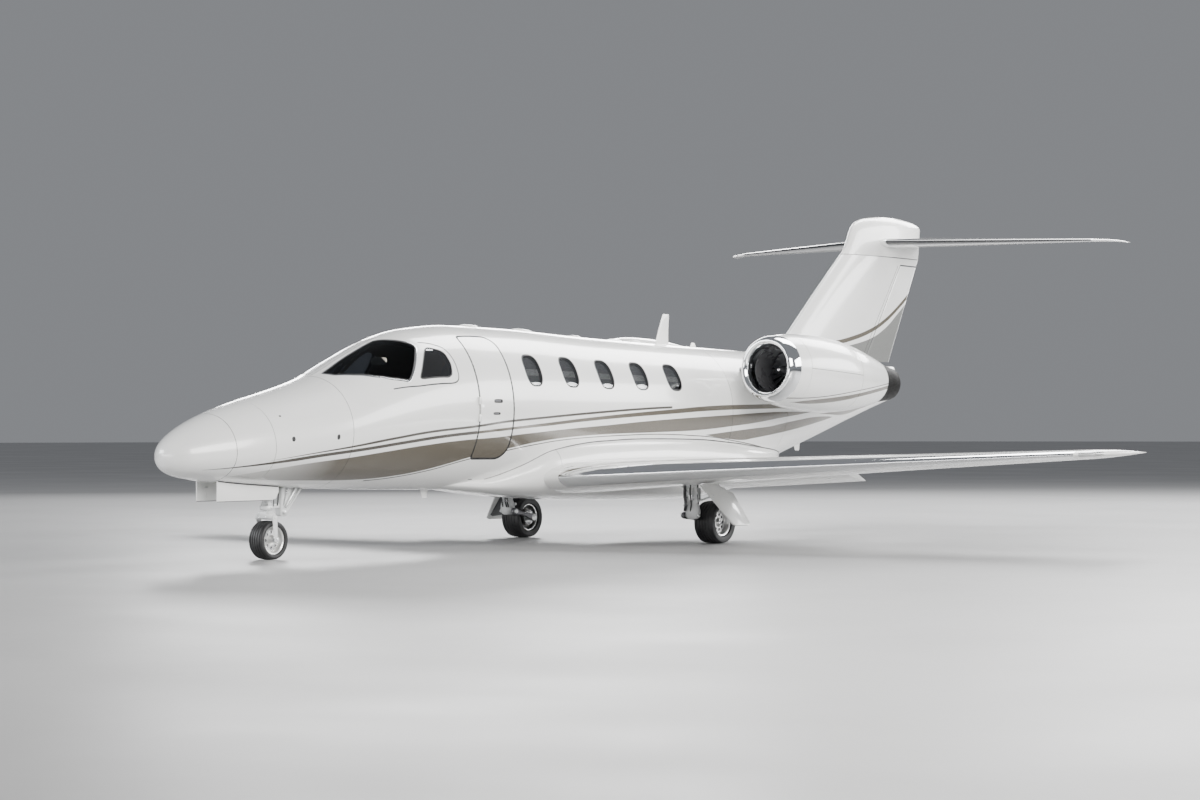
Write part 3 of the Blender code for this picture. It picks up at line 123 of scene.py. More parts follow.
# Fin: z, s of the leading edge, s of the trailing edge, thickness over chord
FIN = (
    (2.30, 11.50, 15.075, 0.090), (2.55, 11.98, 15.215, 0.095), (2.83, 12.40, 15.365, 0.100),
    (3.40, 13.06, 15.670, 0.105), (3.80, 13.53, 15.885, 0.110), (4.09, 13.88, 16.040, 0.115))
RUDDER_LOW, RUDDER_HIGH, HEAD_GAP = 2.490, 3.965, 0.022
HINGE_FOOT_S, HINGE_FOOT_Z, HINGE_LEAN = 14.493, 2.629, 0.716
# Fin cap: z, s of its front, s of its rear, half width
FIN_CAP = np.array((
    (4.0903, 13.880, 16.040, 0.124), (4.20, 13.985, 16.060, 0.140), (4.32, 14.055, 16.070, 0.150),
    (4.45, 14.120, 16.085, 0.148), (4.56, 14.220, 16.095, 0.130), (4.64, 14.430, 15.900, 0.095),
    (4.69, 14.850, 15.500, 0.035)))
# Tailplane: x, s of the leading edge, s of the trailing edge, z, thickness over chord
TAILPLANE = (
    (0.00, 14.650, 16.060, 4.305, 0.105), (0.20, 14.735, 16.075, 4.303, 0.105),
    (3.10, 15.780, 16.215, 4.272, 0.105), (3.40, 15.920, 16.240, 4.260, 0.100),
    (3.50, 16.020, 16.255, 4.250, 0.090), (3.549, 16.180, 16.260, 4.240, 0.080))
ELEVATOR_IN, ELEVATOR_OUT, ELEVATOR_HINGE = 0.30, 3.05, 0.68

POD_X, POD_FRONT, POD_REAR = 1.387, (9.861, 2.318), (12.944, 2.124)
POD_TILT = -math.atan2(POD_FRONT[1] - POD_REAR[1], POD_REAR[0] - POD_FRONT[0])
LIP_DEPTH, LIP_RADIUS, INTAKE_RADIUS, COWL_END = 0.20, 0.375, 0.305, 2.62
COWL = ((0.20, 0.455), (0.36, 0.488), (0.62, 0.514), (0.98, 0.525), (1.42, 0.514), (1.85, 0.472),
        (2.25, 0.402), (2.62, 0.322))
PYLON_FRONT, PYLON_REAR, PYLON_Z, PYLON_THICKNESS = 10.42, 12.45, 2.240, 0.19

NOSE_WHEEL_S, MAIN_WHEEL_S, MAIN_WHEEL_X = 1.705, 8.339, 1.630
# Wheels: tyre radius, half width, flange radius, hub half width, axle radius
NOSE_WHEEL = (0.2285, 0.112, 0.164, 0.088, 0.016)
MAIN_WHEEL = (0.2800, 0.150, 0.180, 0.082, 0.026)
STEER_S, MAIN_LEG_S, MAIN_PIVOT_Z = 1.672, 7.935, 0.375
FORK_IN, FORK_OUT, FORK_AXLE, COLLAR_RADIUS = 0.120, 0.142, 0.148, 0.080
FORK_FOOT, TRUNNION_Z, LAMP_Z = 0.468, 1.02, 0.90
NOSE_DOOR_X, NOSE_DOOR_OUTER = 0.164, 0.1717
BAY_HALF_WIDTH, BAY_FRONT, BAY_REAR, BAY_TOP = 0.150, 0.745, 1.830, 1.180
# The main leg's casting, from its top down: z, middle s, half length, inner x, outer x
MAIN_BULB = ((0.574, 7.945, 0.036, 1.505, 1.612), (0.566, 7.945, 0.050, 1.486, 1.630),
             (0.552, 7.946, 0.055, 1.480, 1.636), (0.538, 7.946, 0.051, 1.485, 1.632),
             (0.526, 7.946, 0.053, 1.486, 1.630), (0.490, 7.947, 0.072, 1.472, 1.650),
             (0.440, 7.948, 0.084, 1.465, 1.660), (0.395, 7.948, 0.085, 1.466, 1.660),
             (0.355, 7.947, 0.076, 1.474, 1.650), (0.334, 7.946, 0.060, 1.488, 1.632),
             (0.325, 7.945, 0.040, 1.506, 1.612))
MAIN_DOOR = ((1.665, 7.93), (1.620, 8.040), (1.610, 8.335), (1.700, 8.345), (1.780, 8.540),
             (2.075, 8.500), (2.090, 8.440), (2.090, 8.170), (2.075, 8.110))

# Painted lines on the port side of the body: s and z of each edge or middle
LINE_UPPER = ((0.55, 1.082), (1.20, 1.166), (1.77, 1.239), (2.37, 1.311), (3.09, 1.407), (3.74, 1.484),
              (4.44, 1.537), (5.09, 1.600), (5.83, 1.649), (6.81, 1.708), (8.06, 1.769), (8.6, 1.785))
LINE_LOWER = ((0.20, 1.055), (0.53, 1.074), (0.87, 1.103), (1.37, 1.153), (1.93, 1.216), (2.63, 1.284),
              (3.27, 1.355), (3.93, 1.423), (4.51, 1.466))
STRIPE_TOP = ((4.51, 1.480), (5.10, 1.525), (5.84, 1.579), (6.61, 1.639), (7.57, 1.702), (8.47, 1.754),
              (9.40, 1.804), (10.38, 1.826), (11.4, 1.835))
STRIPE_LOW = ((4.51, 1.448), (5.11, 1.492), (5.85, 1.541), (6.62, 1.597), (7.58, 1.652), (8.47, 1.695),
              (9.40, 1.739), (10.38, 1.762), (11.4, 1.775))
BAND_TOP = ((0.62, 0.960), (0.88, 1.006), (1.29, 1.067), (1.82, 1.132), (2.36, 1.182), (2.98, 1.249),
            (3.63, 1.318), (4.30, 1.374), (4.86, 1.402), (5.49, 1.448), (6.25, 1.500), (7.03, 1.544),
            (8.03, 1.603), (8.94, 1.645), (9.88, 1.682), (10.82, 1.720), (11.5, 1.728), (12.05, 1.725))
BAND_LOW = ((0.62, 0.966), (1.04, 0.946), (1.47, 0.930), (1.91, 0.921), (2.49, 0.913), (2.95, 0.922),
            (3.40, 0.957), (3.70, 0.997), (3.98, 1.047), (4.28, 1.110), (4.53, 1.163), (4.88, 1.216),
            (5.20, 1.264), (5.72, 1.340), (6.28, 1.393), (7.06, 1.430), (8.06, 1.450), (8.97, 1.470),
            (9.43, 1.493), (9.91, 1.528), (10.40, 1.566), (11.10, 1.640), (11.67, 1.693), (12.0, 1.726))
SEAM_LINE = ((2.60, 0.890), (3.12, 0.912), (3.42, 0.940), (3.71, 0.978), (4.00, 1.028), (4.29, 1.092),
             (4.49, 1.132), (5.21, 1.243), (5.74, 1.313), (6.29, 1.367), (7.07, 1.404), (7.63, 1.419),
             (8.07, 1.426), (8.53, 1.421), (8.99, 1.405), (9.47, 1.382), (9.99, 1.330), (10.54, 1.269),
             (10.86, 1.224), (11.11, 1.178), (11.3, 1.140))
TAIL_TOP = ((9.30, 1.410), (9.93, 1.458), (10.42, 1.494), (10.85, 1.522), (11.13, 1.558), (11.69, 1.618),
            (12.13, 1.654), (12.50, 1.662), (12.75, 1.655))
TAIL_LOW = ((9.30, 1.412), (9.90, 1.352), (10.24, 1.336), (10.48, 1.358), (10.91, 1.403), (11.47, 1.467),
            (12.08, 1.548), (12.57, 1.620), (12.75, 1.650))
CONE_TOP = ((12.2, 1.700), (12.6, 1.722), (13.04, 1.751), (13.89, 1.813), (14.4, 1.870), (15.1, 1.960))
CONE_LOW = ((12.2, 1.702), (12.6, 1.690), (12.98, 1.680), (13.35, 1.700), (13.70, 1.752), (14.4, 1.858),
            (15.1, 1.962))
FIN_STRIPE = ((12.4, 2.60), (12.9, 2.665), (13.46, 2.743), (13.97, 2.825), (14.54, 2.954), (14.95, 3.096),
              (15.47, 3.355), (16.0, 3.68))
FIN_FIELD = ((12.4, 2.43), (13.1, 2.58), (13.78, 2.697), (14.58, 2.845), (14.95, 2.974), (15.44, 3.247),
             (16.0, 3.62))
POD_THIN = ((9.90, 1.915), (10.12, 1.908), (10.44, 1.914), (10.86, 1.947), (11.31, 1.999), (12.15, 2.091),
            (12.7, 2.150))
POD_HIGH = ((9.90, 1.85), (10.20, 1.855), (10.35, 1.872), (10.89, 1.918), (11.34, 1.960), (12.16, 2.061),
            (12.7, 2.125))
POD_LOW = ((9.90, 1.86), (10.20, 1.850), (10.41, 1.833), (10.76, 1.841), (11.18, 1.878), (11.66, 1.944),
           (12.24, 2.020), (12.7, 2.080))


def spot(x, s, z):
    return Vector((x, s - LENGTH / 2, z))


def world(place):
    """A world point; a tuple is read as (x, s, z)."""
    return spot(*place) if isinstance(place, tuple) else Vector(place)


def squared(value, power):
    """A sine or cosine pulled towards its ends, for the sides of rounded rectangles."""
    return np.sign(value) * abs(value) ** power


def circle(count, start=0.0):
    return 2 * np.pi * (np.arange(count) + start) / count


def oval(middle, halves, power, count):
    """The points (u, v) of a rounded rectangle."""
    turn = circle(count)
    return zip(middle[0] + halves[0] * squared(np.cos(turn), power),
               middle[1] + halves[1] * squared(np.sin(turn), power))


class Table:
    """Monotone cubics through the columns of a table, by its first column."""

    def __init__(self, table, key=lambda x: x):
        table = np.asarray(table, float)
        self.key = key
        self.xs = key(table[:, 0])
        self.ys = table[:, 1:]
        rise = np.diff(self.ys, axis=0) / np.diff(self.xs)[:, None]
        product = rise[:-1] * rise[1:]
        total = np.where(product > 0, rise[:-1] + rise[1:], 1.0)
        inner = np.where(product > 0, 2 * product / total, 0.0)
        self.slopes = np.vstack((rise[:1], inner, rise[-1:]))

    def __call__(self, x):
        x = self.key(np.asarray(x, float))
        i = np.clip(np.searchsorted(self.xs, x, side="right") - 1, 0, len(self.xs) - 2)
        width = self.xs[i + 1] - self.xs[i]
        t = ((x - self.xs[i]) / width)[..., None]
        width = width[..., None]
        start = (1 + 2 * t) * (1 - t) ** 2 * self.ys[i] + t * (1 - t) ** 2 * width * self.slopes[i]
        end = t * t * (3 - 2 * t) * self.ys[i + 1] + t * t * (t - 1) * width * self.slopes[i + 1]
        return np.moveaxis(start + end, -1, 0)


body_at = Table(BODY, lambda s: np.sqrt(np.maximum(s, 0.0)))
fairing_at = Table(FAIRING)
cap_at = Table(FIN_CAP)


def skin(s, degrees, inset=0.0, side=1):
    """Points on the fuselage, moved in by inset; 0 degrees is the widest point."""
    low, top, half, wide = body_at(s)
    angle = np.radians(degrees)
    rise = np.sin(angle)
    depth = np.where(rise > 0, top - wide, wide - low)
    x = side * np.maximum(half - inset, 0.0) * np.cos(angle)
    z = wide + np.maximum(depth - inset, 0.0) * rise
    y = np.broadcast_to(np.asarray(s, float) - LENGTH / 2, x.shape)
    return np.stack((x, y, z), axis=-1)


# Mesh tools

def loft(rings, ends="cap", wrap=True):
    """A skin through rings of points; a ring of one point is a tip. ends: cap, open or join."""
    data = bmesh.new()
    rows = [[data.verts.new(world(point)) for point in ring] for ring in rings]
    pairs = list(zip(rows, rows[1:])) + ([(rows[-1], rows[0])] if ends == "join" else [])
    for first, second in pairs:
        count = max(len(first), len(second))
        for i in range(count if wrap else count - 1):
            j = (i + 1) % count
            corners = [first[i % len(first)], first[j % len(first)]]
            corners += [second[j % len(second)], second[i % len(second)]]
            data.faces.new(list(dict.fromkeys(corners)))
    if ends == "cap" and wrap:
        for row in (rows[0], rows[-1]):
            if len(row) > 2:
                data.faces.new(row)
    bmesh.ops.recalc_face_normals(data, faces=data.faces)
    return data


def to_mesh(data, name="scratch"):
    mesh = bpy.data.meshes.new(name)
    data.to_mesh(mesh)
    data.free()
    return mesh


def add_to(whole, data):
    mesh = to_mesh(data)
    whole.from_mesh(mesh)
    bpy.data.meshes.remove(mesh)


def joined(*pieces):
    whole = bmesh.new()
    for item in pieces:
        add_to(whole, item)
    return whole


def tagged(data, index):
    """Marks all faces for the material of that place in the list given to piece."""
    for face in data.faces:
        face.material_index = index
    return data


def carved(target, *tools, operation="DIFFERENCE"):
    """The result of exact Booleans of a mesh with each tool in turn; faces keep their marks."""
    objects = []
    for data in (target,) + tools:
        mesh = to_mesh(data)
        for _ in range(4):
            mesh.materials.append(None)
        item = bpy.data.objects.new("scratch", mesh)
        bpy.context.scene.collection.objects.link(item)
        objects.append(item)
    for tool in objects[1:]:
        modifier = objects[0].modifiers.new("cut", "BOOLEAN")
        modifier.operation = operation
        modifier.solver = "EXACT"
        modifier.object = tool
    graph = bpy.context.evaluated_depsgraph_get()
    mesh = bpy.data.meshes.new_from_object(objects[0].evaluated_get(graph), depsgraph=graph)
    result = bmesh.new()
    result.from_mesh(mesh)
    bpy.data.meshes.remove(mesh)
    for item in objects:
        mesh = item.data
        bpy.data.objects.remove(item)
        bpy.data.meshes.remove(mesh)
    return result


def moved(data, matrix):
    bmesh.ops.transform(data, matrix=matrix, verts=data.verts)
    return data


def mirrored(data):
    """The same mesh on the starboard side."""
    moved(data, Matrix.Diagonal((-1, 1, 1, 1)))
    bmesh.ops.reverse_faces(data, faces=data.faces)
    return data


def bevelled(data, width, segments=2, angle=0.6):
    edges = [e for e in data.edges if len(e.link_faces) == 2 and e.calc_face_angle() > angle]
    bmesh.ops.bevel(data, geom=edges, offset=width, segments=segments, profile=0.5, affect="EDGES",
                    clamp_overlap=True)
    return data


def block(low, high, bevel=0.0, segments=2):
    """A box between two corners given as (x, s, z), with rounded edges."""
    a, b = spot(*low), spot(*high)
    data = bmesh.new()
    bmesh.ops.create_cube(data, size=1.0)
    bmesh.ops.scale(data, verts=data.verts, vec=[abs(b[i] - a[i]) for i in range(3)])
    bmesh.ops.translate(data, verts=data.verts, vec=(a + b) / 2)
    return bevelled(data, bevel, segments) if bevel else data


def turned(profile, steps, origin, axis, closed=True):
    """A profile of (distance along the axis, radius) turned round it; a zero radius is a tip."""
    turn = Vector((0, 0, 1)).rotation_difference(Vector(axis).normalized()).to_matrix()
    origin = world(origin)
    rings = []
    for distance, radius in profile:
        angles = circle(steps if radius > 0 else 1)
        rings.append([origin + turn @ Vector((radius * math.cos(a), radius * math.sin(a), distance))
                      for a in angles])
    return loft(rings, ends="join" if closed else "cap")


def rod(start, end, radius, steps=24, bevel=0.003):
    """A round bar between two points, its rims rounded."""
    start, end = world(start), world(end)
    length = (end - start).length
    bevel = min(bevel, radius * 0.3, length * 0.3)
    profile = [(0, 0), (0, radius - bevel), (bevel * 0.3, radius - bevel * 0.3), (bevel, radius),
               (length - bevel, radius), (length - bevel * 0.3, radius - bevel * 0.3),
               (length, radius - bevel), (length, 0)]
    return turned(profile, steps, start, end - start, closed=False)


def tube(points, radius, steps=10):
    """A round bar along a smooth line through the points."""
    points = [world(p) for p in points]
    last = len(points) - 1
    fine = []
    for i, (a, b) in enumerate(zip(points, points[1:])):
        start_slope = (b - points[max(i - 1, 0)]) / 2
        end_slope = (points[min(i + 2, last)] - a) / 2
        for k in range(6):
            t = k / 6
            fine.append((2 * t ** 3 - 3 * t ** 2 + 1) * a + (t ** 3 - 2 * t ** 2 + t) * start_slope
                        + (-2 * t ** 3 + 3 * t ** 2) * b + (t ** 3 - t ** 2) * end_slope)
    fine.append(points[-1])
    rings = []
    side = Vector((1, 0, 0))
    for i, here in enumerate(fine):
        line = (fine[min(i + 1, len(fine) - 1)] - fine[max(i - 1, 0)]).normalized()
        side = side - line * side.dot(line)
        side = side.normalized() if side.length > 0.01 else line.orthogonal().normalized()
        up = line.cross(side)
        rings.append([here + (side * math.cos(a) + up * math.sin(a)) * radius for a in circle(steps)])
    return loft(rings)


def bolt(place, normal, radius=0.006, height=0.004):
    """A six-sided head with a domed top."""
    return turned([(0, 0), (0, radius), (height, radius), (height * 1.3, radius * 0.7), (height * 1.4, 0)],
                  6, place, normal, closed=False)


def bolt_ring(centre, axis, reach, count, radius=0.006, height=0.004):
    axis = Vector(axis).normalized()
    side = axis.orthogonal().normalized()
    other = axis.cross(side)
    return [bolt(Vector(centre) + (side * math.cos(a) + other * math.sin(a)) * reach, axis, radius, height)
            for a in circle(count)]


def piece(name, parts, body="airframe", replaces=(), side=1, angle=35.0):
    """One object of (mesh or list of meshes, material) parts, riding on a body; side -1 mirrors it.

    A mesh with marked faces comes with a tuple of materials, one for each mark.
    """
    mesh = bpy.data.meshes.new(name)
    whole = bmesh.new()
    for items, material in parts:
        start = len(mesh.materials)
        choices = material if isinstance(material, tuple) else (material,)
        for choice in choices:
            mesh.materials.append(MATERIALS[choice])
        for data in items if isinstance(items, list) else [items]:
            for face in data.faces:
                face.material_index = start + min(face.material_index, len(choices) - 1)
            add_to(whole, data if side > 0 else mirrored(data))
    whole.to_mesh(mesh)
    whole.free()
    mesh.shade_smooth()
    mesh.set_sharp_from_angle(angle=math.radians(angle))
    item = bpy.data.objects.new(name, mesh)
    bpy.context.scene.collection.objects.link(item)
    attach(item, body)
    if replaces:
        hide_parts(*replaces)
    return item


def place_on_skin(points):
    """For each point, how far it is from the fuselage's outside, and the outward normal there."""
    s = points[:, 1] + LENGTH / 2
    low, top, half, wide = body_at(s)
    depth = np.where(points[:, 2] > wide, top - wide, wide - low)
    degrees = np.degrees(np.arctan2((points[:, 2] - wide) / np.maximum(depth, 1e-6),
                                    points[:, 0] / np.maximum(half, 1e-6)))
    away = np.linalg.norm(points - skin(s, degrees), axis=1)
    root = np.sqrt(np.maximum(s, 0.0004))
    lengthwise = skin((root + 0.002) ** 2, degrees) - skin((root - 0.002) ** 2, degrees)
    around = skin(s, degrees + 0.3) - skin(s, degrees - 0.3)
    normal = np.cross(lengthwise, around)
    normal /= np.maximum(np.linalg.norm(normal, axis=1), 1e-12)[:, None]
    inside = np.stack((np.zeros_like(s), points[:, 1], wide), axis=1)
    flip = np.sign(np.sum(normal * (points - inside), axis=1))
    return away, normal * flip[:, None]


def smooth_skin(item, tolerance=0.0012):
    """Gives the faces on the fuselage's outside its true normals."""
    mesh = item.data
    points = np.empty(len(mesh.vertices) * 3)
    mesh.vertices.foreach_get("co", points)
    points = points.reshape(-1, 3)
    away, normal = place_on_skin(points)
    loops = np.empty(len(mesh.loops), int)
    mesh.loops.foreach_get("vertex_index", loops)
    custom = np.zeros((len(loops), 3))
    for face in mesh.polygons:
        span = slice(face.loop_start, face.loop_start + face.loop_total)
        corners = loops[span]
        if away[corners].max() < tolerance and normal[corners[0]] @ np.array(face.normal) > 0.7:
            custom[span] = normal[corners]
    mesh.normals_split_custom_set(custom.tolist())
    return item


# Materials

MATERIALS = {}


class Shader:
    """A node material, put together call by call."""

    def __init__(self, name, colour=None, metallic=0.0, roughness=0.5, **more):
        self.material = bpy.data.materials.new(name)
        self.material.use_nodes = True
        self.tree = self.material.node_tree
        self.bsdf = self.tree.nodes["Principled BSDF"]
        self.set("Metallic", metallic)
        self.set("Roughness", roughness)
        if colour is not None:
            self.set("Base Color", (*colour, 1.0))
        for key, value in more.items():
            self.set(key.replace("_", " ").title().replace("Ior", "IOR"), value)
        self.place = self.node("TexCoord").outputs["Object"]
        MATERIALS[name] = self.material

    def put(self, socket, value):
        if isinstance(value, bpy.types.NodeSocket):
            self.tree.links.new(value, socket)
        else:
            socket.default_value = value

    def set(self, name, value):
        self.put(self.bsdf.inputs[name], value)

    def node(self, kind, inputs=None, **properties):
        item = self.tree.nodes.new("ShaderNode" + kind)
        for key, value in properties.items():
            setattr(item, key, value)
        for key, value in (inputs or {}).items():
            self.put(item.inputs[key], value)
        return item

    def math(self, operation, a, b=0.0, c=0.0, clamp=False):
        return self.node("Math", {0: a, 1: b, 2: c}, operation=operation, use_clamp=clamp).outputs[0]

    def plus(self, a, b):
        return self.math("ADD", a, b)

    def minus(self, a, b):
        return self.math("SUBTRACT", a, b)

    def times(self, a, b):
        return self.math("MULTIPLY", a, b)

    def larger(self, a, b):
        return self.math("MAXIMUM", a, b)

    def mix(self, factor, a, b):
        a = a if isinstance(a, bpy.types.NodeSocket) else (*a, 1.0)
        b = b if isinstance(b, bpy.types.NodeSocket) else (*b, 1.0)
        return self.node("Mix", {0: factor, 6: a, 7: b}, data_type="RGBA").outputs[2]

    def span(self, value, low, high, start=0.0, end=1.0):
        return self.node("MapRange", {0: value, 1: low, 2: high, 3: start, 4: end}).outputs[0]

    def noise(self, scale, detail=3.0, rough=0.5, stretch=None):
        place = self.place
        if stretch is not None:
            place = self.node("Mapping", {"Vector": place, "Scale": stretch}).outputs[0]
        return self.node("TexNoise", {"Vector": place, "Scale": scale, "Detail": detail,
                                      "Roughness": rough}).outputs["Fac"]

    def cells(self, scale):
        inputs = {"Vector": self.place, "Scale": scale}
        return self.node("TexVoronoi", inputs, feature="F1").outputs["Distance"]

    def bump(self, height, distance, strength=1.0, after=None):
        inputs = {"Height": height, "Distance": distance, "Strength": strength}
        if after is not None:
            inputs["Normal"] = after
        return self.node("Bump", inputs).outputs[0]

    def curve(self, value, points, span, rise):
        """A smooth curve of height by length through (length, height) points."""
        item = self.node("FloatCurve", {"Value": self.span(value, *span)})
        line = item.mapping.curves[0]
        table = [((x - span[0]) / (span[1] - span[0]), (z - rise[0]) / (rise[1] - rise[0]))
                 for x, z in points]
        line.points[0].location = table[0]
        line.points[1].location = table[-1]
        for u, v in table[1:-1]:
            line.points.new(u, v)
        item.mapping.update()
        return self.span(item.outputs[0], 0.0, 1.0, *rise)

    def above(self, value, low, soft=500.0):
        """1 where value is above low, with an edge a few millimetres wide."""
        return self.math("MULTIPLY_ADD", self.minus(value, low), soft, 0.5, True)

    def between(self, value, low, high, soft=500.0):
        return self.times(self.above(value, low, soft), self.above(high, value, soft))

    def line(self, value, middle, half):
        """1 within a half width of middle."""
        return self.between(value, self.minus(middle, half), self.plus(middle, half))


WHITE = (0.90, 0.90, 0.885)
TAUPE = (0.092, 0.078, 0.056)
DARK_LINE = (0.050, 0.044, 0.036)
JOINT_GREY = (0.20, 0.20, 0.20)
FIN_GREY = (0.19, 0.193, 0.186)
DUST = (0.42, 0.40, 0.36)
# The lengths and heights between which the curves of the painted lines lie
BODY_SPAN, BODY_RISE = (0.0, 16.0), (0.8, 2.2)
FIN_SPAN, FIN_RISE = (12.0, 16.2), (2.2, 4.0)
POD_SPAN, POD_RISE = (9.8, 13.0), (1.6, 2.6)
# Joints of a pod's cowl panels: distance aft of its front
COWL_SEAMS = (0.405, 1.70)


def darker(colour, share):
    return tuple(c * share for c in colour)


def offset(points, amount):
    return [(s, z + amount) for s, z in points]


def paint(name, livery=None, base=WHITE):
    """Gloss aircraft paint: a pearl base under a clear coat, a little uneven and dusty."""
    shader = Shader(name, roughness=0.3, coat_weight=1.0, coat_roughness=0.09, coat_ior=1.45)
    colour = shader.mix(shader.noise(0.9, 2.0), base, darker(base, 0.955))
    parts = shader.node("SeparateXYZ", {0: shader.place}).outputs
    if livery is not None:
        colour = livery(shader, shader.plus(parts[1], LENGTH / 2), parts, colour)
    streaks = shader.noise(9.0, 5.0, 0.6, stretch=(1.0, 0.16, 1.0))
    dust = shader.times(shader.span(streaks, 0.55, 0.85), 0.10)
    shader.set("Base Color", shader.mix(dust, colour, DUST))
    flake = shader.noise(1400.0, 0.0)
    shader.set("Roughness", shader.span(flake, 0.3, 0.7, 0.24, 0.36))
    shader.set("Metallic", shader.span(flake, 0.45, 0.75, 0.0, 0.16))
    wave = shader.bump(shader.noise(2.4, 1.0), 0.0022, 0.5)
    shader.set("Normal", shader.bump(shader.noise(160.0, 1.0), 0.00006, 0.6, after=wave))


def body_livery(shader, s, parts, colour, band_low=None, seams=True):
    """The taupe band and the thin lines that run from the nose to the tail."""
    z = parts[2]

    def edge(points):
        return shader.curve(s, points, BODY_SPAN, BODY_RISE)

    def part(mask, start, end):
        return shader.times(mask, shader.between(s, start, end, 60.0))

    def field(low, high, start, end):
        return part(shader.between(z, edge(low), edge(high)), start, end)

    def thin_line(points, start, end, half, reach):
        """A line that comes to a point at its front end."""
        level, width = edge(points), shader.span(s, start, start + reach, 0.001, half)
        return part(shader.line(z, level, width), start, end)

    band = shader.between(z, edge(BAND_LOW) if band_low is None else band_low, edge(BAND_TOP))
    band = part(shader.times(band, shader.span(s, 0.62, 2.2, 0.12, 1.0)), 0.6, 12.0)
    stripe = field(STRIPE_LOW, STRIPE_TOP, 4.5, 11.4)
    tail = field(TAIL_LOW, TAIL_TOP, 9.3, 12.8)
    cone = field(CONE_LOW, CONE_TOP, 12.2, 15.1)
    wide = shader.larger(shader.larger(band, stripe), shader.larger(tail, cone))
    thin = shader.larger(thin_line(LINE_UPPER, 1.15, 8.5, 0.0145, 1.6),
                         thin_line(LINE_LOWER, 0.35, 4.52, 0.019, 1.2))
    if seams:
        seam = field(offset(SEAM_LINE, -0.0065), offset(SEAM_LINE, 0.0065), 2.9, 11.2)
        thin = shader.larger(thin, seam)
    colour = shader.mix(wide, colour, shader.mix(shader.noise(3.0, 2.0), TAUPE, darker(TAUPE, 0.88)))
    return shader.mix(thin, colour, DARK_LINE)


def door_livery(shader, s, parts, colour):
    """The band fills the cabin door down to its lower edge."""
    return body_livery(shader, s, parts, colour, 0.9, False)


def fin_livery(shader, s, parts, colour):
    """The taupe stripe over the fin's foot and the grey field below it."""
    low, high, field = (shader.curve(s, points, FIN_SPAN, FIN_RISE)
                        for points in (offset(FIN_STRIPE, -0.032), offset(FIN_STRIPE, 0.032), FIN_FIELD))
    colour = shader.mix(shader.between(parts[2], low, high), colour, TAUPE)
    return shader.mix(shader.above(field, parts[2]), colour, FIN_GREY)


def fairing_livery(shader, s, parts, colour):
    """One upright panel joint ahead of the wing root."""
    joint = shader.times(shader.between(s, 6.150, 6.157), shader.between(parts[2], 1.02, 1.6))
    return shader.mix(joint, colour, (0.25, 0.25, 0.25))


def pod_livery(shader, s, parts, colour):
    """The stripe and the thin line on the outboard half, and the joint of the cowl panels."""
    z = parts[2]
    low, high, thin = (shader.curve(s, points, POD_SPAN, POD_RISE)
                       for points in (POD_LOW, POD_HIGH, POD_THIN))
    outboard = shader.between(shader.math("ABSOLUTE", parts[0]), POD_X, 4.0, 40.0)
    colour = shader.mix(shader.times(shader.between(z, low, high), outboard), colour, TAUPE)
    colour = shader.mix(shader.times(shader.line(z, thin, 0.006), outboard), colour, DARK_LINE)
    back = shader.minus(s, POD_FRONT[0])
    level = shader.math("MULTIPLY_ADD", back, math.tan(POD_TILT), POD_FRONT[1] + 0.02)
    split = shader.times(shader.line(z, level, 0.004), outboard)
    split = shader.times(split, shader.between(back, 0.41, COWL_SEAMS[1]))
    return shader.mix(split, colour, JOINT_GREY)


def metal(name, colour, roughness, spread, brushed=(1.0, 1.0, 1.0), scale=40.0, **more):
    """Bare metal: brushed or cast, with smears that change its gloss."""
    shader = Shader(name, metallic=1.0, **more)
    grain = shader.noise(scale, 4.0, 0.6, stretch=brushed)
    smear = shader.noise(6.0, 3.0)
    shader.set("Base Color", shader.mix(smear, colour, darker(colour, 0.88)))
    rough = shader.plus(shader.span(grain, 0.3, 0.7, 0.0, spread), shader.span(smear, 0.3, 0.7, 0.0, spread))
    shader.set("Roughness", shader.plus(rough, roughness))
    shader.set("Normal", shader.bump(grain, 0.0003, 0.15))


def plastic(name, colour, roughness=0.5, grain=500.0, depth=0.0004, **more):
    """Moulded plastic, rubber or paint with a fine grain and dusty patches."""
    shader = Shader(name, **more)
    dust = shader.span(shader.noise(7.0, 4.0), 0.45, 0.8)
    shader.set("Base Color", shader.mix(dust, colour, tuple(c * 0.82 + 0.035 for c in colour)))
    shader.set("Roughness", shader.span(dust, 0.0, 1.0, roughness, min(roughness + 0.14, 1.0)))
    shader.set("Normal", shader.bump(shader.noise(grain, 2.0), depth, 0.35))


def glass(name, colour, ior=1.45, coat=1.0):
    shader = Shader(name, roughness=0.0, transmission_weight=1.0, ior=ior, coat_weight=coat,
                    coat_roughness=0.0)
    shader.set("Base Color", shader.mix(shader.noise(4.0, 3.0), colour, darker(colour, 0.8)))


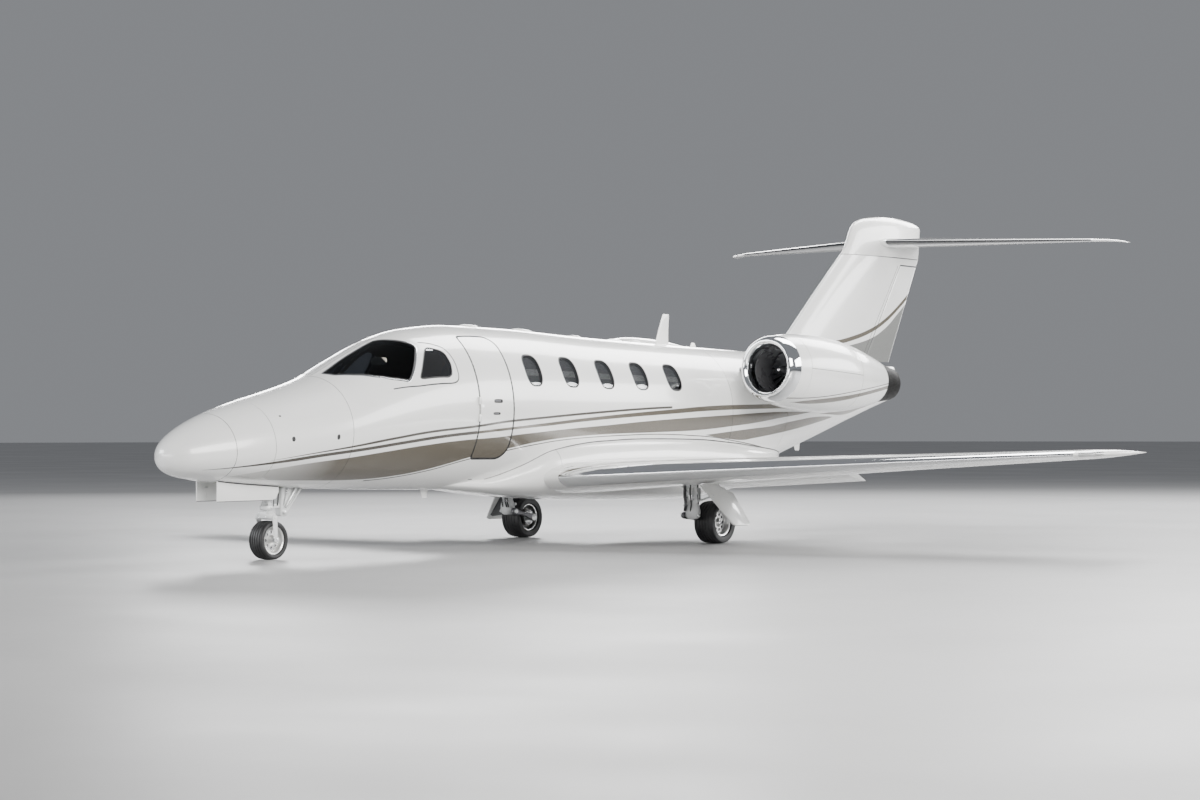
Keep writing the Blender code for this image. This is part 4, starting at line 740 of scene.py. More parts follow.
def make_materials():
    paint("white_paint")
    paint("body_paint", body_livery)
    paint("door_paint", door_livery)
    paint("fin_paint", fin_livery)
    paint("pod_paint", pod_livery)
    paint("fairing_paint", fairing_livery)
    metal("polished", (0.90, 0.91, 0.92), 0.035, 0.03, (1.0, 0.3, 1.0), 30.0, anisotropic=0.3)
    metal("chrome", (0.88, 0.88, 0.89), 0.02, 0.03, scale=25.0)
    metal("gear_metal", (0.76, 0.77, 0.77), 0.20, 0.12, scale=60.0)
    metal("gear_dark", (0.20, 0.20, 0.21), 0.30, 0.15, scale=60.0)
    paint("strut_paint", base=(0.76, 0.77, 0.77))
    metal("wheel_metal", (0.80, 0.80, 0.79), 0.20, 0.12, scale=90.0)
    metal("brake_steel", (0.30, 0.29, 0.28), 0.28, 0.12, scale=120.0)
    metal("hot_metal", (0.013, 0.0125, 0.012), 0.46, 0.12, (1.0, 0.2, 1.0), 50.0)
    metal("fan_metal", (0.60, 0.61, 0.63), 0.26, 0.10, scale=80.0)
    plastic("duct_black", (0.085, 0.085, 0.090), 0.26, coat_weight=0.6, coat_roughness=0.12)
    plastic("tyre", (0.017, 0.017, 0.018), 0.46, 260.0, 0.0006)
    # Black for seals, joints, gaps and holes, and for the painted shade along the nose gear doors' edges
    plastic("seal", (0.012, 0.012, 0.013), 0.55)
    plastic("boot", (0.012, 0.013, 0.016), 0.16, 90.0, 0.0001, coat_weight=0.8, coat_roughness=0.06)
    plastic("dark_plastic", (0.035, 0.036, 0.040), 0.55, 700.0)
    plastic("bay_green", (0.30, 0.33, 0.24), 0.45, 200.0)
    # Near-black for the inner pans of the main gear doors: painted shade on the doors' inner side
    plastic("door_lining", (0.075, 0.078, 0.084), 0.42, 200.0)
    plastic("cream_trim", (0.52, 0.47, 0.39), 0.45, 400.0)
    plastic("blind", (0.38, 0.38, 0.385), 0.6, 500.0)
    # Near-white bar behind each cabin window: painted light, standing in for the bright band across the
    # windows
    plastic("blind_bar", (0.95, 0.94, 0.91), 0.5, 500.0)
    plastic("carpet", (0.16, 0.14, 0.12), 0.92, 900.0, 0.004)
    plastic("hose", (0.02, 0.02, 0.02), 0.45, 350.0)
    plastic("static_wick", (0.03, 0.03, 0.03), 0.6)
    glass("cockpit_glass", (0.20, 0.22, 0.25), ior=1.18, coat=0.0)
    glass("side_glass", (0.70, 0.71, 0.72))
    glass("cabin_glass", (0.80, 0.81, 0.82))
    glass("clear_lens", (0.92, 0.93, 0.95))
    leather = Shader("leather", roughness=0.42)
    creases = leather.noise(28.0, 4.0)
    leather.set("Base Color", leather.mix(creases, (0.50, 0.43, 0.34), (0.40, 0.335, 0.26)))
    leather.set("Roughness", leather.span(creases, 0.3, 0.7, 0.36, 0.50))
    leather.set("Normal", leather.bump(leather.plus(leather.cells(420.0), creases), 0.0012, 0.4))
    screens = Shader("screen", (0.015, 0.03, 0.045), roughness=0.12, coat_weight=1.0)
    glow = screens.mix(screens.span(screens.cells(28.0), 0.0, 0.5), (0.02, 0.10, 0.16), (0.004, 0.01, 0.02))
    screens.set("Emission Color", glow)
    screens.set("Emission Strength", 0.6)


# Fuselage

def stations(start, end, step, seams=()):
    """(s, inset) along the body, with a shallow groove at each seam and at the ends."""
    count = max(2, round((end - start) / step))
    rows = [(s, 0.0) for s in np.linspace(start, end, count + 1)]
    for seam in seams:
        rows = [row for row in rows if abs(row[0] - seam) > 0.008]
        rows += [(seam - GROOVE_LIP, 0.0), (seam - GROOVE_FLOOR, GROOVE), (seam + GROOVE_FLOOR, GROOVE),
                 (seam + GROOVE_LIP, 0.0)]
    return sorted(rows)


def body_skin(rows, points=144):
    angles = -90 + 360 * np.arange(points) / points
    rings = []
    for s, inset in rows:
        _, _, half, wide = body_at(s)
        tip = half - inset < 0.002
        rings.append([(0, s, float(wide))] if tip else skin(np.full(points, s), angles, inset))
    return loft(rings)


def mark_seams(data, seams):
    """Marks the faces in the bottom of each groove."""
    for face in data.faces:
        s = face.calc_center_median().y + LENGTH / 2
        if any(abs(s - seam) < 0.0029 for seam in seams):
            face.material_index = 1
    return data


def edge_rows(rows, front=True, rear=True):
    """Turns the ends of a skin in by a few millimetres, so the seam beside it shows."""
    first, last = rows[0][0], rows[-1][0]
    if front:
        rows = [(first + GAP, GROOVE), (first + 0.0028, 0.0)] + [r for r in rows if r[0] > first + 0.006]
    if rear:
        rows = [r for r in rows if r[0] < last - 0.006] + [(last - 0.0028, 0.0), (last - GAP, GROOVE)]
    return rows


def outline_plug(outer, inner, outer_inset, inner_inset, side=1, fractions=(1.0, 0.75, 0.5, 0.25)):
    """A plug through the skin: two outlines of (s, degrees), each with a domed cap on the section."""
    def cap(outline, inset):
        table = np.array(outline)
        middle = table.mean(0)
        rows = [skin(*(middle + fraction * (table - middle)).T, inset, side) for fraction in fractions]
        return rows + [[skin(*middle, inset, side)]]

    return loft(cap(outer, outer_inset)[::-1] + cap(inner, inner_inset))


def rounded_outline(s_mid, angle_mid, half_s, half_angle, power, count):
    return list(oval((s_mid, angle_mid), (half_s, half_angle), 2 / power, count))


def steps_between(first, second, longest):
    length = math.hypot(second[0] - first[0], (second[1] - first[1]) * DEGREE)
    return max(1, math.ceil(length / longest))


def densify(outline, longest):
    filled = []
    for first, second in zip(outline, outline[1:] + outline[:1]):
        steps = steps_between(first, second, longest)
        filled += [tuple(a + (b - a) * k / steps for a, b in zip(first, second)) for k in range(steps)]
    return filled


def softened(outline, longest=0.02, reach=2):
    """An outline with its corners rounded and its sides in short steps."""
    table = np.array(densify(tuple(outline), longest))
    for _ in range(reach):
        table = (np.roll(table, 1, 0) + 2 * table + np.roll(table, -1, 0)) / 4
    return [tuple(row) for row in table]


def softened_line(points, longest=0.03, reach=2):
    """An open line with short steps and rounded corners, its ends kept."""
    filled = densify(tuple(points), longest)
    closing = steps_between(points[-1], points[0], longest)
    table = np.array(filled[:len(filled) - closing + 1])
    for _ in range(reach):
        table[1:-1] = (table[:-2] + 2 * table[1:-1] + table[2:]) / 4
    return table


def shrink(outline, margin):
    """An outline of (s, degrees) drawn in by margin metres on every side; a negative one grows it."""
    scale = math.radians(1) * SKIN_RADIUS
    flat = np.array([(s, angle * scale) for s, angle in outline])
    after = np.roll(flat, -1, 0) - flat
    turn = np.sum(flat[:, 0] * np.roll(flat[:, 1], -1) - np.roll(flat[:, 0], -1) * flat[:, 1])
    after /= np.linalg.norm(after, axis=1)[:, None]
    side = np.stack((-after[:, 1], after[:, 0]), 1) * (1 if turn > 0 else -1)
    bisector = side + np.roll(side, 1, 0)
    bisector /= np.linalg.norm(bisector, axis=1)[:, None]
    moved_to = flat + bisector * (margin / np.maximum(np.sum(bisector * side, 1), 0.4))[:, None]
    return [(p[0], p[1] / scale) for p in moved_to]


def door_outline(margin_s, margin_angle):
    """The doorway's outline of (s, degrees), drawn in by margins in metres."""
    per_metre = 57.3 / DOOR_RADIUS
    s_mid, angle_mid = (DOOR_FRONT + DOOR_REAR) / 2, (DOOR_LOW + DOOR_HIGH) / 2
    half_s = (DOOR_REAR - DOOR_FRONT) / 2 - margin_s
    half_angle = (DOOR_HIGH - DOOR_LOW) / 2 - margin_angle * per_metre
    points = []
    for sign_s, sign_angle, start in ((1, 1, 0), (-1, 1, 90), (-1, -1, 180), (1, -1, 270)):
        corner = (DOOR_CORNER if sign_s > 0 else DOOR_FRONT_CORNER) - min(margin_angle, 0.006)
        tall = corner * per_metre
        for turn in np.radians(start + np.linspace(0, 90, 9)):
            points.append((s_mid + sign_s * (half_s - corner) + corner * math.cos(turn),
                           angle_mid + sign_angle * (half_angle - tall) + tall * math.sin(turn)))
    return densify(points, 0.05)


def trim_ring(outline, outside, inside, lift, depth, side=1):
    """A flat ring that follows the skin between two offsets of an outline."""
    outer = np.array(shrink(outline, -outside))
    inner = np.array(shrink(outline, -inside))
    middle = (outer + inner) / 2
    rows = [(outer, depth), (outer, -lift * 0.4), ((outer * 3 + middle) / 4, -lift),
            ((inner * 3 + middle) / 4, -lift), (inner, -lift * 0.4), (inner, depth)]
    return loft([skin(*row.T, inset, side) for row, inset in rows], ends="join")


def skin_line(points, width, lift=0.0006, side=1):
    """A thin raised line along (s, degrees) points on the skin."""
    scale = np.array((1.0, math.radians(1) * SKIN_RADIUS))
    table = np.array(points) * scale
    step = np.gradient(table, axis=0)
    step /= np.linalg.norm(step, axis=1)[:, None]
    across = np.stack((-step[:, 1], step[:, 0]), 1) * width / 2
    left, right = (table + across) / scale, (table - across) / scale
    rows = [skin(*row.T, inset, side) for row, inset in ((left, 0.002), (left, -lift), (right, -lift),
                                                         (right, 0.002))]
    return loft(np.stack(rows, 1))


def side_angle(s, z):
    """The angle round the section at which the port side of the body has that height."""
    low, top, _, wide = (float(v) for v in body_at(s))
    depth = top - wide if z > wide else wide - low
    return math.degrees(math.asin((z - wide) / depth))


def glass_outlines():
    return (("windshield", softened(WINDSHIELD, 0.03, 1)), ("side_window", softened(SIDE_WINDOW, 0.024, 2)))


def skinned(node, name, data, materials, body="airframe"):
    """A piece whose outside takes the fuselage's true normals."""
    smooth_skin(piece(name, [(data, materials)], body, (node,)))


def make_body():
    nose_rows = [(RADOME_END * t ** 1.9, 0.0) for t in np.linspace(0, 1, 34)]
    cone = mark_seams(body_skin(edge_rows(nose_rows, front=False)), (RADOME_END,))
    skinned("nose_cone", "nose_cone_skin", cone, ("body_paint", "seal"))
    rows = edge_rows(stations(RADOME_END, NOSE_END, 0.035, (NOSE_SEAM,)))
    bay = block((-BAY_HALF_WIDTH, BAY_FRONT, 0.6), (BAY_HALF_WIDTH, BAY_REAR, BAY_TOP))
    shell = carved(mark_seams(body_skin(rows), (RADOME_END, NOSE_SEAM, NOSE_END)), tagged(bay, 2))
    skinned("nose_section", "nose_skin", shell, ("body_paint", "seal", "bay_green"))
    windows = [rounded_outline(s, WINDOW_ANGLE, WINDOW_HALF_LENGTH, WINDOW_HALF_ANGLE, WINDOW_POWER, 40)
               for s in WINDOWS]
    plugs = []
    for _, side in SIDES:
        plugs += [outline_plug(outline, outline, -0.03, WALL + 0.03, side, (1.0,)) for outline in windows]
        plugs += [outline_plug(outline, outline, -0.02, WALL + 0.02, side) for _, outline in glass_outlines()]
    doorway = door_outline(0.0, 0.0)
    plugs.append(outline_plug(doorway, doorway, -0.05, WALL + 0.05, 1, DOOR_CAP))
    rows = edge_rows(stations(NOSE_END, CABIN_END, 0.055))
    inner_rows = [(s, WALL) for s in np.linspace(NOSE_END + WALL, CABIN_END - WALL, 60)]
    shell = carved(mark_seams(body_skin(rows), (NOSE_END, CABIN_END)), tagged(body_skin(inner_rows, 96), 2),
                   tagged(joined(*plugs), 3))
    skinned("cabin_shell", "cabin_skin", shell, ("body_paint", "seal", "cream_trim", "seal"))
    rows = edge_rows(stations(CABIN_END, TAIL_END, 0.06, (TAIL_SEAM,)), rear=False)
    hollow = body_skin([(s, WALL) for s in np.linspace(CABIN_END - 0.05, 13.9, 30)], 64)
    shell = carved(mark_seams(body_skin(rows), (CABIN_END, TAIL_SEAM)), tagged(hollow, 2))
    skinned("tail_section", "tail_skin", shell, ("body_paint", "seal", "bay_green"))
    make_door()
    make_hinges()
    make_glass(windows)


def make_door():
    outside = door_outline(RUNNING_GAP, RUNNING_GAP)
    taper = (DOOR_REAR_TAPER + DOOR_FRONT_TAPER) / 2
    shift = (DOOR_REAR_TAPER - DOOR_FRONT_TAPER) / 2
    inside = [(s - shift, angle) for s, angle in door_outline(taper, RUNNING_GAP)]
    plug = outline_plug(outside, inside, -0.005, WALL + 0.04, 1, DOOR_CAP)
    lining = body_skin([(s, WALL) for s in np.linspace(4.30, 5.45, 30)], 144)
    leaf = carved(body_skin(stations(4.35, 5.40, 0.04)), tagged(lining, 1))
    leaf = carved(leaf, tagged(plug, 2), operation="INTERSECT")
    handles = []
    for s, z, half_s, half_z in DOOR_HANDLES:
        cup = rounded_outline(s, side_angle(s, z), half_s + 0.008, (half_z + 0.008) * 70, 4.0, 24)
        leaf = carved(leaf, tagged(outline_plug(cup, cup, -0.01, 0.014, 1, (1.0,)), 2))
        x = Vector(skin(s, side_angle(s, z), 0.004)).x
        handles.append(block((x - 0.005, s - half_s, z - half_z * 0.6),
                             (x + 0.003, s + half_s * 0.7, z + half_z * 0.6), 0.002))
    skinned("cabin_door", "cabin_door_skin", leaf, ("door_paint", "cream_trim", "seal"), body="cabin_door")
    edge = trim_ring(outside, -0.0003, -0.0085, 0.0004, 0.003)
    piece("cabin_door_edge", [(edge, "seal")], body="cabin_door")
    piece("doorway_edge", [(trim_ring(door_outline(0.0, 0.0), 0.0120, 0.0002, 0.0004, 0.003), "seal")])
    low, high = HINGE_LOW + KNUCKLE + GAP, HINGE_HIGH - KNUCKLE - GAP
    hinge = [rod((HINGE_X, DOOR_FRONT, low), (HINGE_X, DOOR_FRONT, high), HINGE_RADIUS),
             block((HINGE_X - 0.006, DOOR_FRONT, low), (HINGE_X + 0.006, DOOR_FRONT + 0.06, high), 0.001),
             block((LEAF_X, DOOR_FRONT + 0.03, low), (HINGE_X + 0.004, DOOR_FRONT + 0.06, high), 0.001)]
    piece("cabin_door_fittings", [(handles, "gear_dark"), (hinge, "white_paint")], body="cabin_door")


def make_hinges():
    parts = []
    for low in (HINGE_LOW, HINGE_HIGH - KNUCKLE):
        high = low + KNUCKLE
        parts += [rod((HINGE_X, DOOR_FRONT, low), (HINGE_X, DOOR_FRONT, high), HINGE_RADIUS),
                  block((LEAF_X, DOOR_FRONT - 0.035, low),
                        (HINGE_X + 0.006, DOOR_FRONT - 0.002, high), 0.001)]
    piece("door_hinge_leaves", [(parts, "white_paint")])


def make_glass(windows):
    for side_name, side in SIDES:
        seals = []
        for name, outline in glass_outlines():
            pane = shrink(outline, 0.002)
            plug = outline_plug(pane, pane, 0.004, 0.016, side, (1.0, 0.85, 0.7, 0.55, 0.4, 0.25, 0.1))
            front = name == "windshield"
            piece(f"{name}_glass_{side_name}", [(plug, "cockpit_glass" if front else "side_glass")],
                  replaces=(f"{name}_{side_name}",))
            seals.append(trim_ring(outline, 0.002, -0.014, 0.0006, 0.006, side))
            if front:
                frame_ring = trim_ring(outline, 0.018, 0.0025, 0.0016, 0.004, side)
        piece(f"cockpit_frames_{side_name}", [(frame_ring, "polished")])
        seals.append(skin_line(softened_line(SURROUND), 0.014, 0.0005, side))
        seals += [trim_ring(outline, 0.0075, -0.010, 0.0009, 0.006, side) for outline in windows]
        piece(f"window_seals_{side_name}", [(seals, "seal")])
        panes = []
        for outline in windows:
            for margin, outer, inner in ((0.002, 0.005, 0.013), (0.012, 0.040, 0.046)):
                pane = shrink(outline, margin)
                panes.append(outline_plug(pane, pane, outer, inner, side, (1.0, 0.6, 0.3)))
        piece(f"cabin_glass_{side_name}", [(panes, "cabin_glass")],
              replaces=(f"cabin_windows_{side_name}",))
        blinds = [window_sheet(s, -15.5, 15.5, 0.056, side) for s in WINDOWS]
        # A near-white bar across the middle of each window, behind the glass: painted light in place of the
        # bright band seen across the windows
        light_bars = [window_sheet(s, -3.6, 1.6, 0.050, side) for s in WINDOWS]
        piece(f"window_blinds_and_light_bars_{side_name}", [(blinds, "blind"), (light_bars, "blind_bar")])


def window_sheet(s, low, high, inset, side):
    """A pleated sheet behind one cabin window."""
    rows = []
    steps = max(2, round((high - low) / 1.4))
    for k, angle in enumerate(np.linspace(WINDOW_ANGLE + low, WINDOW_ANGLE + high, steps + 1)):
        depth = inset + 0.0015 * (k % 2)
        front = skin(np.linspace(s - 0.172, s + 0.172, 9), angle, depth, side)
        back = skin(np.linspace(s + 0.172, s - 0.172, 9), angle, depth + 0.002, side)
        rows.append(np.concatenate((front, back)))
    return loft(rows)


def make_post():
    """The bright centre post between the windshield panes, with its two joint lines."""
    rows, lines = [], [[], []]
    for s in np.linspace(2.375, 3.50, 26):
        spread = 5.0 + 1.2 * max(0.0, (s - 3.2) / 0.3)
        angles = np.linspace(90 - spread, 90 + spread, 9)
        rows.append(np.concatenate((skin(s, angles, -0.0022), skin(s, angles[::-1], 0.004))))
        for line, middle in zip(lines, (90 - 2.3, 90 + 2.3)):
            edge = np.array((middle - 0.2, middle + 0.2))
            line.append(np.concatenate((skin(s, edge, -0.0028), skin(s, edge[::-1], 0.0))))
    piece("windshield_post", [(loft(rows), "white_paint"), ([loft(line) for line in lines], "seal")])


# Wings and tail

def thickness(x):
    """Half thickness of the section at part x of its chord, in halves of the greatest thickness."""
    return 10 * (0.2969 * math.sqrt(max(x, 0)) - 0.126 * x - 0.3516 * x ** 2 + 0.2843 * x ** 3
                 - 0.1036 * x ** 4)


def aerofoil(count, start=0.0):
    """Closed symmetric section as (part of chord, part of half thickness); start > 0 keeps the nose."""
    half = count // 2
    points = []
    for i in range(count + 1):
        x = (1 + math.cos(math.pi * (start + (2 - 2 * start) * i / count))) / 2
        if start == 0.0 and i in (0, count):
            points.append((1.0, 0.02 if i == 0 else -0.02))
        elif i == half:
            points.append((0.0, 0.0))
        else:
            points.append((x, max(thickness(x), 0.006) * (1 if i < half else -1)))
    return points


def nose_start(part):
    """The start of a section that ends at that part of the chord."""
    return math.acos(2 * part - 1) / math.pi


def panel_ring(row, section, upright=False, grow=0.0):
    across, front, rear, height, ratio = (0.0, row[1], row[2], row[0], row[3]) if upright else row
    chord = rear - front
    points = []
    for part, off in section:
        s = front - grow + part * (chord + 2 * grow)
        bulge = off * (ratio * chord / 2 + grow)
        points.append((bulge, s, height) if upright else (across, s, height + bulge))
    return points


def row_at(table, key):
    for first, second in zip(table, table[1:]):
        if first[0] <= key <= second[0]:
            t = (key - first[0]) / (second[0] - first[0])
            return [a + t * (b - a) for a, b in zip(first, second)]
    raise ValueError("outside the table")


def dense_rows(table, low=None, high=None, step=0.25):
    first, last = table[0][0], table[-1][0]
    low, high = first if low is None else low, last if high is None else high
    keys = sorted({row[0] for row in table} | set(np.arange(first, last, step).tolist()))
    return [row_at(table, k) for k in [low, *(k for k in keys if low + 0.01 < k < high - 0.01), high]]


def panel_loft(table, count=56, upright=False, grow=0.0, start=0.0, low=None, high=None):
    section = aerofoil(count, start)
    return loft([panel_ring(row, section, upright, grow) for row in dense_rows(table, low, high)])


def keyhole(first, second, radii, reach, depth, lean, upright=False):
    """The space of a hinged surface: all that lies aft of its hinge line, and a round nose."""
    rings = []
    for centre, radius in ((first, radii[0]), (second, radii[1])):
        corners = [(reach, depth), (0.0, depth)]
        for i in range(17):
            angle = math.radians(90 + 180 * i / 16)
            corners.append((radius * lean * math.cos(angle), radius * math.sin(angle)))
        corners += [(0.0, -depth), (reach, -depth)]
        rings.append([centre + (Vector((off, back, 0)) if upright else Vector((0, back, off)))
                      for back, off in corners])
    return loft(rings)


def half_depth(table, key, part, upright=False):
    row = row_at(table, key)
    return thickness(part) / 2 * (row[3] if upright else row[4]) * (row[2] - row[1])


def body_envelope(front, rear, grow=GAP):
    count = max(3, round((rear - front) / 0.1))
    return body_skin([(s, -grow) for s in np.linspace(front, rear, count)], 144)


def fairing_loft(grow=0.0, points=96, step=0.06):
    turn = circle(points, 0.5)
    across, up = (squared(part, 2 / FAIRING_POWER) for part in (np.cos(turn), np.sin(turn)))
    rings = []
    for s in np.arange(FAIRING[0, 0], FAIRING[-1, 0] + 0.0001, step):
        low, top, half = fairing_at(s)
        heights = (low + top) / 2 + ((top - low) / 2 + grow) * up
        rings.append([(x, s, z) for x, z in zip((half + grow) * across, heights)])
    return loft(rings)


def hinge_pins(ends, radius):
    line = (ends[1] - ends[0]).normalized()
    reach = RUNNING_GAP - (radius * math.sqrt(1 - line.x ** 2) + GAP) / abs(line.x)
    return [rod(end - out * 0.03, end + out * reach, radius, 16)
            for end, out in ((ends[0], -line), (ends[1], line))]


def fairing_angle(s):
    """Where the fairing's upper edge meets the port side of the body, or None."""
    low, top, half = fairing_at(s)
    angles = np.linspace(10.0, -80.0, 361)
    points = skin(np.full(len(angles), s), angles)
    inside = (abs(points[:, 0]) / half) ** FAIRING_POWER
    inside += (abs(points[:, 2] - (low + top) / 2) / ((top - low) / 2)) ** FAIRING_POWER
    within = np.nonzero(inside < 1.0)[0]
    return float(angles[within[0]]) if len(within) and within[0] else None


def make_fairing():
    lower = carved(fairing_loft(), body_envelope(4.2, 11.9, 0.0))
    piece("belly_fairing_skin", [(lower, "fairing_paint")],
          replaces=("belly_fairing",))
    table = [(s, fairing_angle(s)) for s in np.arange(5.10, 11.61, 0.05)]
    table = softened_line([(s, angle + 0.35) for s, angle in table if angle is not None], 0.06)
    lines = [skin_line(table, 0.013, 0.0012, side) for _, side in SIDES]
    piece("fairing_joint", [(lines, "seal")])


def hinged(table, keys, part, side, reach, depth):
    """The ends of a hinge line, the space of its surface and the room cut for it."""
    ends = []
    for key in keys:
        row = row_at(table, key)
        ends.append(spot(side * key, row[1] + part * (row[2] - row[1]), row[3]))
    radii = [half_depth(table, key, part) + 0.002 for key in keys]
    step = (ends[1] - ends[0]).normalized() * RUNNING_GAP
    space = keyhole(*ends, radii, reach, depth, 1.0)
    room = keyhole(ends[0] - step, ends[1] + step, [r + RUNNING_GAP for r in radii], reach, depth, 1.0)
    return ends, space, tagged(room, 1)


def make_wings():
    for side_name, side in SIDES:
        ends, space, room = hinged(WING, (AILERON_IN, AILERON_OUT), AILERON_HINGE, 1, 0.7, 0.4)
        flap, tracks, flap_room = make_flap()
        wing = carved(panel_loft(WING), body_envelope(5.0, 10.0), fairing_loft(GAP, 48, 0.1), room,
                      tagged(flap_room, 0))
        piece(f"wing_skin_{side_name}", [(wing, ("white_paint", "seal"))],
              replaces=(f"wing_{side_name}",), side=side)
        edge = panel_loft(WING, 40, grow=0.0012, start=nose_start(0.062), low=0.945, high=7.30)
        piece(f"wing_edge_{side_name}", [(edge, "polished")], side=side)
        aileron = carved(panel_loft(WING, low=4.2, high=7.4), space, operation="INTERSECT")
        piece(f"aileron_skin_{side_name}",
              [(aileron, "white_paint"), (hinge_pins(ends, 0.008), "gear_metal")],
              body=f"aileron_{side_name}", replaces=(f"aileron_{side_name}",), side=side)
        piece(f"flap_skin_{side_name}", [(flap, "white_paint"), (tracks, "gear_metal")],
              replaces=(f"flap_{side_name}",), side=side)


def make_flap():
    """The port flap, its track plates and the room for it in the wing."""
    # The cut is straight between its ends, as it is in the solid
    ends = []
    for x in (FLAP_IN, FLAP_OUT):
        row = row_at(WING, x)
        size = ((row[2] - row[1]) / FLAP_BASE) ** 0.5
        ends.append((row[2] - FLAP_CUT * size, FLAP_CHORD * FLAP_BASE * size, row[3]))
    angle = math.radians(FLAP_ANGLE)
    rings, corners = [], []
    for x in np.linspace(FLAP_IN, FLAP_OUT, 9):
        t = (x - FLAP_IN) / (FLAP_OUT - FLAP_IN)
        cut_s, chord, height = [a + t * (b - a) for a, b in zip(*ends)]
        corners.append((x, cut_s, height))
        ring = []
        for part, off in aerofoil(48):
            a, h = part * chord, off * 0.14 * chord / 2 * 1.1
            ring.append((x, cut_s + FLAP_NOSE_GAP + a * math.cos(angle) + h * math.sin(angle),
                         height - FLAP_DROP - a * math.sin(angle) + h * math.cos(angle)))
        rings.append(ring)
    room = [[(x + margin, s + aft, z + up) for aft, up in ((0, -0.5), (0.9, -0.5), (0.9, 0.5), (0, 0.5))]
            for (x, s, z), margin in ((corners[0], -0.008), (corners[-1], 0.008))]
    tracks = []
    for t in (0.14, 0.86):
        x, s, z = [a + t * (b - a) for a, b in zip(corners[0], corners[-1])]
        tracks.append(loft([[(x + across, s + aft, z - drop) for aft, drop in
                             ((GAP, 0.005), (0.22, 0.10), (0.22, 0.155), (GAP, 0.055))]
                            for across in (-0.012, 0.012)]))
    return loft(rings), tracks, loft(room)


def hinge_s(z):
    return HINGE_FOOT_S + (z - HINGE_FOOT_Z) * HINGE_LEAN


def make_fin():
    lean = math.hypot(1.0, HINGE_LEAN)
    ends = [spot(0, hinge_s(z), z) for z in (RUDDER_LOW, RUDDER_HIGH)]
    room_ends = [spot(0, hinge_s(z), z) for z in (RUDDER_LOW - 0.2, RUDDER_HIGH + HEAD_GAP)]
    radii = []
    for z in (RUDDER_LOW, RUDDER_HIGH):
        row = row_at(FIN, z)
        radii.append(half_depth(FIN, z, (hinge_s(z) - row[1]) / (row[2] - row[1]), True) + 0.004)
    wide = [radius + RUNNING_GAP for radius in radii]
    room = keyhole(*room_ends, wide, 1.6, 0.4, lean, True)
    fin = carved(panel_loft(FIN, 64, True), body_envelope(11.0, 15.3), tagged(room, 1))
    piece("fin_skin", [(fin, ("fin_paint", "seal"))], replaces=("fin",))
    joint = [panel_ring(row_at(FIN, z), aerofoil(64), True, 0.0008) for z in (4.0815, 4.0898)]
    piece("fin_joint", [(loft(joint), "seal")])
    seams = []
    for side in (1, -1):
        strip = []
        for z in np.linspace(RUDDER_LOW + 0.02, RUDDER_HIGH, 8):
            row = row_at(FIN, z)
            t = (z - RUDDER_LOW) / (RUDDER_HIGH - RUDDER_LOW)
            front = hinge_s(z) - (wide[0] + t * (wide[1] - wide[0])) * lean - 0.012
            off = half_depth(FIN, z, (front - row[1]) / (row[2] - row[1]), True)
            strip.append([(side * (off + lift), front + back, z) for lift, back in
                          ((-0.004, -0.004), (0.0012, -0.004), (0.0010, 0.004), (-0.004, 0.004))])
        seams.append(loft(strip))
    piece("rudder_seam", [(seams, "seal")])
    space = keyhole(*ends, radii, 1.6, 0.4, lean, True)
    rudder = carved(panel_loft(FIN, 64, True), tagged(space, 1), operation="INTERSECT")
    line = (ends[1] - ends[0]).normalized()
    drop = (line.y * 0.010 + GAP * 2) / line.z
    foot = ends[0] - line * ((RUDDER_LOW - float(body_at(hinge_s(RUDDER_LOW - 0.02))[1])) / line.z - drop)
    head = ends[1] + line * (HEAD_GAP / line.z - drop)
    pins = [rod(inner + (inner - outer).normalized() * 0.05, outer, 0.010, 16)
            for inner, outer in ((ends[0], foot), (ends[1], head))]
    piece("rudder_skin", [(rudder, ("fin_paint", "seal")), (pins, "gear_metal")], body="rudder",
          replaces=("rudder",))


def cap_ring(z, count=72):
    front, rear, half = cap_at(z)
    turn = circle(count, 0.5)
    across, back = np.sin(turn), np.cos(turn)
    x = half * squared(across, 0.9) * (1 - 0.55 * np.maximum(back, 0.0) ** 2)
    s = (front + rear) / 2 + (rear - front) / 2 * squared(back, 0.85)
    return [(a, b, z) for a, b in zip(x, s)]


def make_tailplane():
    both = [(-row[0], *row[1:]) for row in reversed(TAILPLANE)] + list(TAILPLANE[1:])
    shoulder = 4.56
    crown = shoulder + 0.13 * (1 - (1 - np.linspace(0.12, 1, 9)) ** 2)
    heights = np.concatenate((np.linspace(FIN_CAP[0, 0], shoulder, 12), crown))
    cap = carved(loft([cap_ring(z) for z in heights]), panel_loft(both, 44, grow=GAP))
    piece("fin_cap_skin", [(cap, "white_paint")], replaces=("fin_cap",))
    rooms = []
    for side_name, side in SIDES:
        ends, space, room = hinged(TAILPLANE, (ELEVATOR_IN, ELEVATOR_OUT), ELEVATOR_HINGE, side, 0.6, 0.3)
        rooms.append(room)
        surface = carved(panel_loft(both, 44), space, operation="INTERSECT")
        piece(f"elevator_skin_{side_name}",
              [(surface, "white_paint"), (hinge_pins(ends, 0.006), "gear_metal")],
              body=f"elevator_{side_name}", replaces=(f"elevator_{side_name}",))
        rim = panel_loft(TAILPLANE, 40, grow=0.0009, start=nose_start(0.115), low=0.21, high=3.16)
        boot = panel_loft(TAILPLANE, 40, grow=0.0016, start=nose_start(0.085), low=0.23, high=3.14)
        piece(f"tailplane_edge_{side_name}", [(rim, "polished")], side=side)
        piece(f"tailplane_boot_{side_name}", [(boot, "boot")], side=side)
    piece("tailplane_skin", [(carved(panel_loft(both, 44), *rooms), ("white_paint", "seal"))],
          replaces=("tailplane",))


# Engines

def pod_front(side):
    return spot(side * POD_X, *POD_FRONT)


def pod_axis():
    return Vector((0, math.cos(POD_TILT), math.sin(POD_TILT)))


def pod_turn(side, profile, steps=96, closed=True):
    return turned(profile, steps, pod_front(side), pod_axis(), closed)


